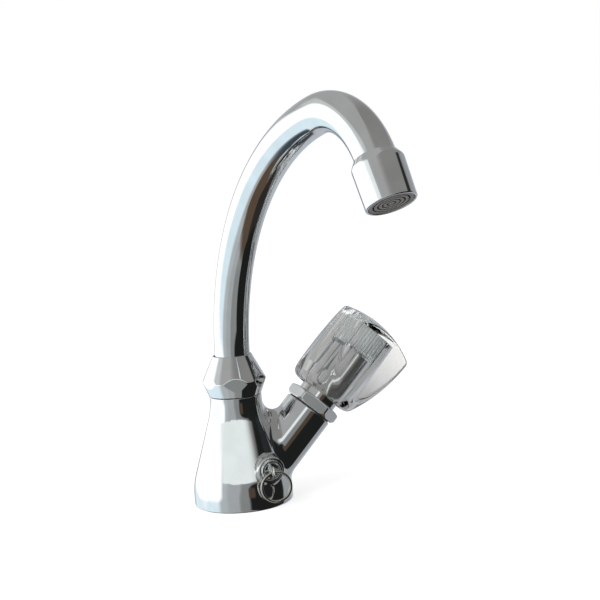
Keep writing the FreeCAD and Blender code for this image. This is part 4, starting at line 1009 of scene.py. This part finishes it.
def smooth_step(tree, value, start, end):
    """Goes from 0 to 1 while a value goes from a start to an end."""
    values = {"Value": value, "From Min": start, "From Max": end}
    return add_node(tree, "ShaderNodeMapRange", values, interpolation_type="SMOOTHSTEP").outputs["Result"]


def laid_over(tree, label, mask, under, over):
    """A colour laid over another where a mask is 1."""
    values = {"Factor": mask, MIX_UNDER: under, MIX_OVER: over}
    return add_node(tree, "ShaderNodeMix", values, data_type="RGBA", label=label).outputs[MIX_RESULT]


def off_middle(tree, value, ends):
    """How far an angle lies from the middle of its range, to the fourth power, with 1 at the ends."""
    half = math.radians(ends[1] - ends[0]) / 2
    middle = math.radians(ends[0] + ends[1]) / 2
    share = maths(tree, "MULTIPLY_ADD", value, 1 / half, -middle / half)
    square = maths(tree, "MULTIPLY", share, share)
    return maths(tree, "MULTIPLY", square, square)


def patch(tree, azimuth, height, sides, heights, soft):
    """1 inside a rounded patch of directions, and 0 outside."""
    far = maths(tree, "ADD", off_middle(tree, azimuth, sides), off_middle(tree, height, heights))
    narrow = min(sides[1] - sides[0], heights[1] - heights[0])
    # At an end of its range, the fourth power grows by 8 for the width of the range.
    blur = min(8 * soft / narrow, LARGEST_BLUR)
    return smooth_step(tree, far, 1 + blur, 1 - blur)


def directions(tree):
    """Azimuth from the photograph's side and height of each direction, swayed a little."""
    direction = add_node(tree, "ShaderNodeTexCoord", {}).outputs["Generated"]
    sway = add_node(tree, "ShaderNodeTexNoise", {"Vector": direction, "Scale": SWAY_SCALE, "Detail": 1.0})
    swayed = vector_maths(tree, "MULTIPLY_ADD", sway.outputs["Color"], (SWAY,) * 3, direction)
    centred = vector_maths(tree, "SUBTRACT", swayed, (SWAY / 2,) * 3)
    unit = vector_maths(tree, "NORMALIZE", centred)
    turn = add_node(tree, "ShaderNodeVectorRotate", {"Vector": unit, "Angle": CAMERA_AZIMUTH},
                    rotation_type="Z_AXIS")
    x, y, z = add_node(tree, "ShaderNodeSeparateXYZ", {0: turn.outputs[0]}).outputs
    azimuth = maths(tree, "ARCTAN2", x, maths(tree, "MULTIPLY", y, -1.0))
    return azimuth, maths(tree, "ARCSINE", z)


def room(tree):
    """Colour of the room by direction, with slightly uneven edges."""
    azimuth, height = directions(tree)
    edge_start = math.radians(GROUND_EDGE - GROUND_SOFT)
    edge_end = math.radians(GROUND_EDGE + GROUND_SOFT)
    colour = laid_over(tree, "dome", smooth_step(tree, height, edge_start, edge_end), GROUND, DOME)
    for name, sides, heights, soft, tone in ROOM:
        mask = patch(tree, azimuth, height, sides, heights, soft)
        colour = laid_over(tree, name, mask, colour, tone)
    return colour


def make_world():
    """White where the camera looks, the room where metal and glass look, and plain soft light elsewhere."""
    world = bpy.data.worlds.new("studio")
    bpy.context.scene.world = world
    world.use_nodes = True
    tree = world.node_tree
    rays = add_node(tree, "ShaderNodeLightPath", {}).outputs
    through = rays["Is Transmission Ray"]
    mirrored = room(tree)
    cloudy = vector_maths(tree, "MULTIPLY_ADD", mirrored, KEPT_SHARE, ADDED_LIGHT)
    colour = laid_over(tree, "through_plastic", through, mirrored, cloudy)
    mirror_or_glass = maths(tree, "MAXIMUM", rays["Is Glossy Ray"], through)
    colour = laid_over(tree, "room", mirror_or_glass, (PLAIN_LIGHT,) * 3, colour)
    colour = laid_over(tree, "background", rays["Is Camera Ray"], colour, (1.0, 1.0, 1.0))
    feed(tree, tree.nodes["Background"], {"Color": colour, "Strength": 1.0})


def floor_material():
    """Plain for the light that the floor throws back, and white with a light shadow for the camera."""
    material, tree, shader = new_material("pale_floor")
    feed(tree, shader, {"Base Color": (FLOOR_TONE,) * 3, "Roughness": 0.9})
    glow = add_node(tree, "ShaderNodeEmission", {"Strength": FLOOR_GLOW})
    lit = add_node(tree, "ShaderNodeBsdfDiffuse", {"Color": (FLOOR_LIT_TONE,) * 3})
    seen = add_node(tree, "ShaderNodeAddShader", {0: glow.outputs[0], 1: lit.outputs[0]})
    ray = add_node(tree, "ShaderNodeLightPath", {})
    show_by_ray(tree, ray.outputs["Is Camera Ray"], shader, seen)
    return material


def make_floor():
    """A white floor that keeps a light shadow. The metal mirrors the room in its place."""
    half = FLOOR_SIZE / 2
    mesh = bpy.data.meshes.new("floor")
    mesh.from_pydata([(-half, -half, 0), (half, -half, 0), (half, half, 0), (-half, half, 0)], [],
                     [(0, 1, 2, 3)])
    mesh.materials.append(floor_material())
    floor = bpy.data.objects.new("floor", mesh)
    bpy.context.scene.collection.objects.link(floor)
    floor.visible_glossy = False
    floor.visible_transmission = False


def make_key_lamp():
    """A soft lamp above the left, which mirrors and clear plastic don't show."""
    lamp = bpy.data.lights.new("key", "AREA")
    lamp.shape = "RECTANGLE"
    lamp.size, lamp.size_y = KEY_SIZE
    lamp.energy = KEY_POWER
    item = bpy.data.objects.new("key", lamp)
    item.location = KEY_SPOT
    item.rotation_euler = (KEY_TARGET - KEY_SPOT).to_track_quat("-Z", "Y").to_euler()
    item.visible_glossy = False
    item.visible_transmission = False
    bpy.context.scene.collection.objects.link(item)


def make_camera():
    """The photograph's camera."""
    camera = bpy.data.cameras.new("camera")
    camera.lens = CAMERA_LENS
    camera.sensor_width = CAMERA_SENSOR
    item = bpy.data.objects.new("camera", camera)
    turn = Matrix.Rotation(-CAMERA_AZIMUTH, 4, "Z")
    turn = turn @ Matrix.Rotation(math.radians(90) + CAMERA_TILT, 4, "X")
    roll = Matrix.Rotation(CAMERA_ROLL, 4, "Z")
    item.matrix_world = Matrix.Translation(CAMERA_SPOT) @ turn @ roll
    bpy.context.scene.collection.objects.link(item)
    bpy.context.scene.camera = item


make_floor()
make_world()
make_key_lamp()
make_camera()
bpy.context.scene.view_settings.view_transform = "Standard"
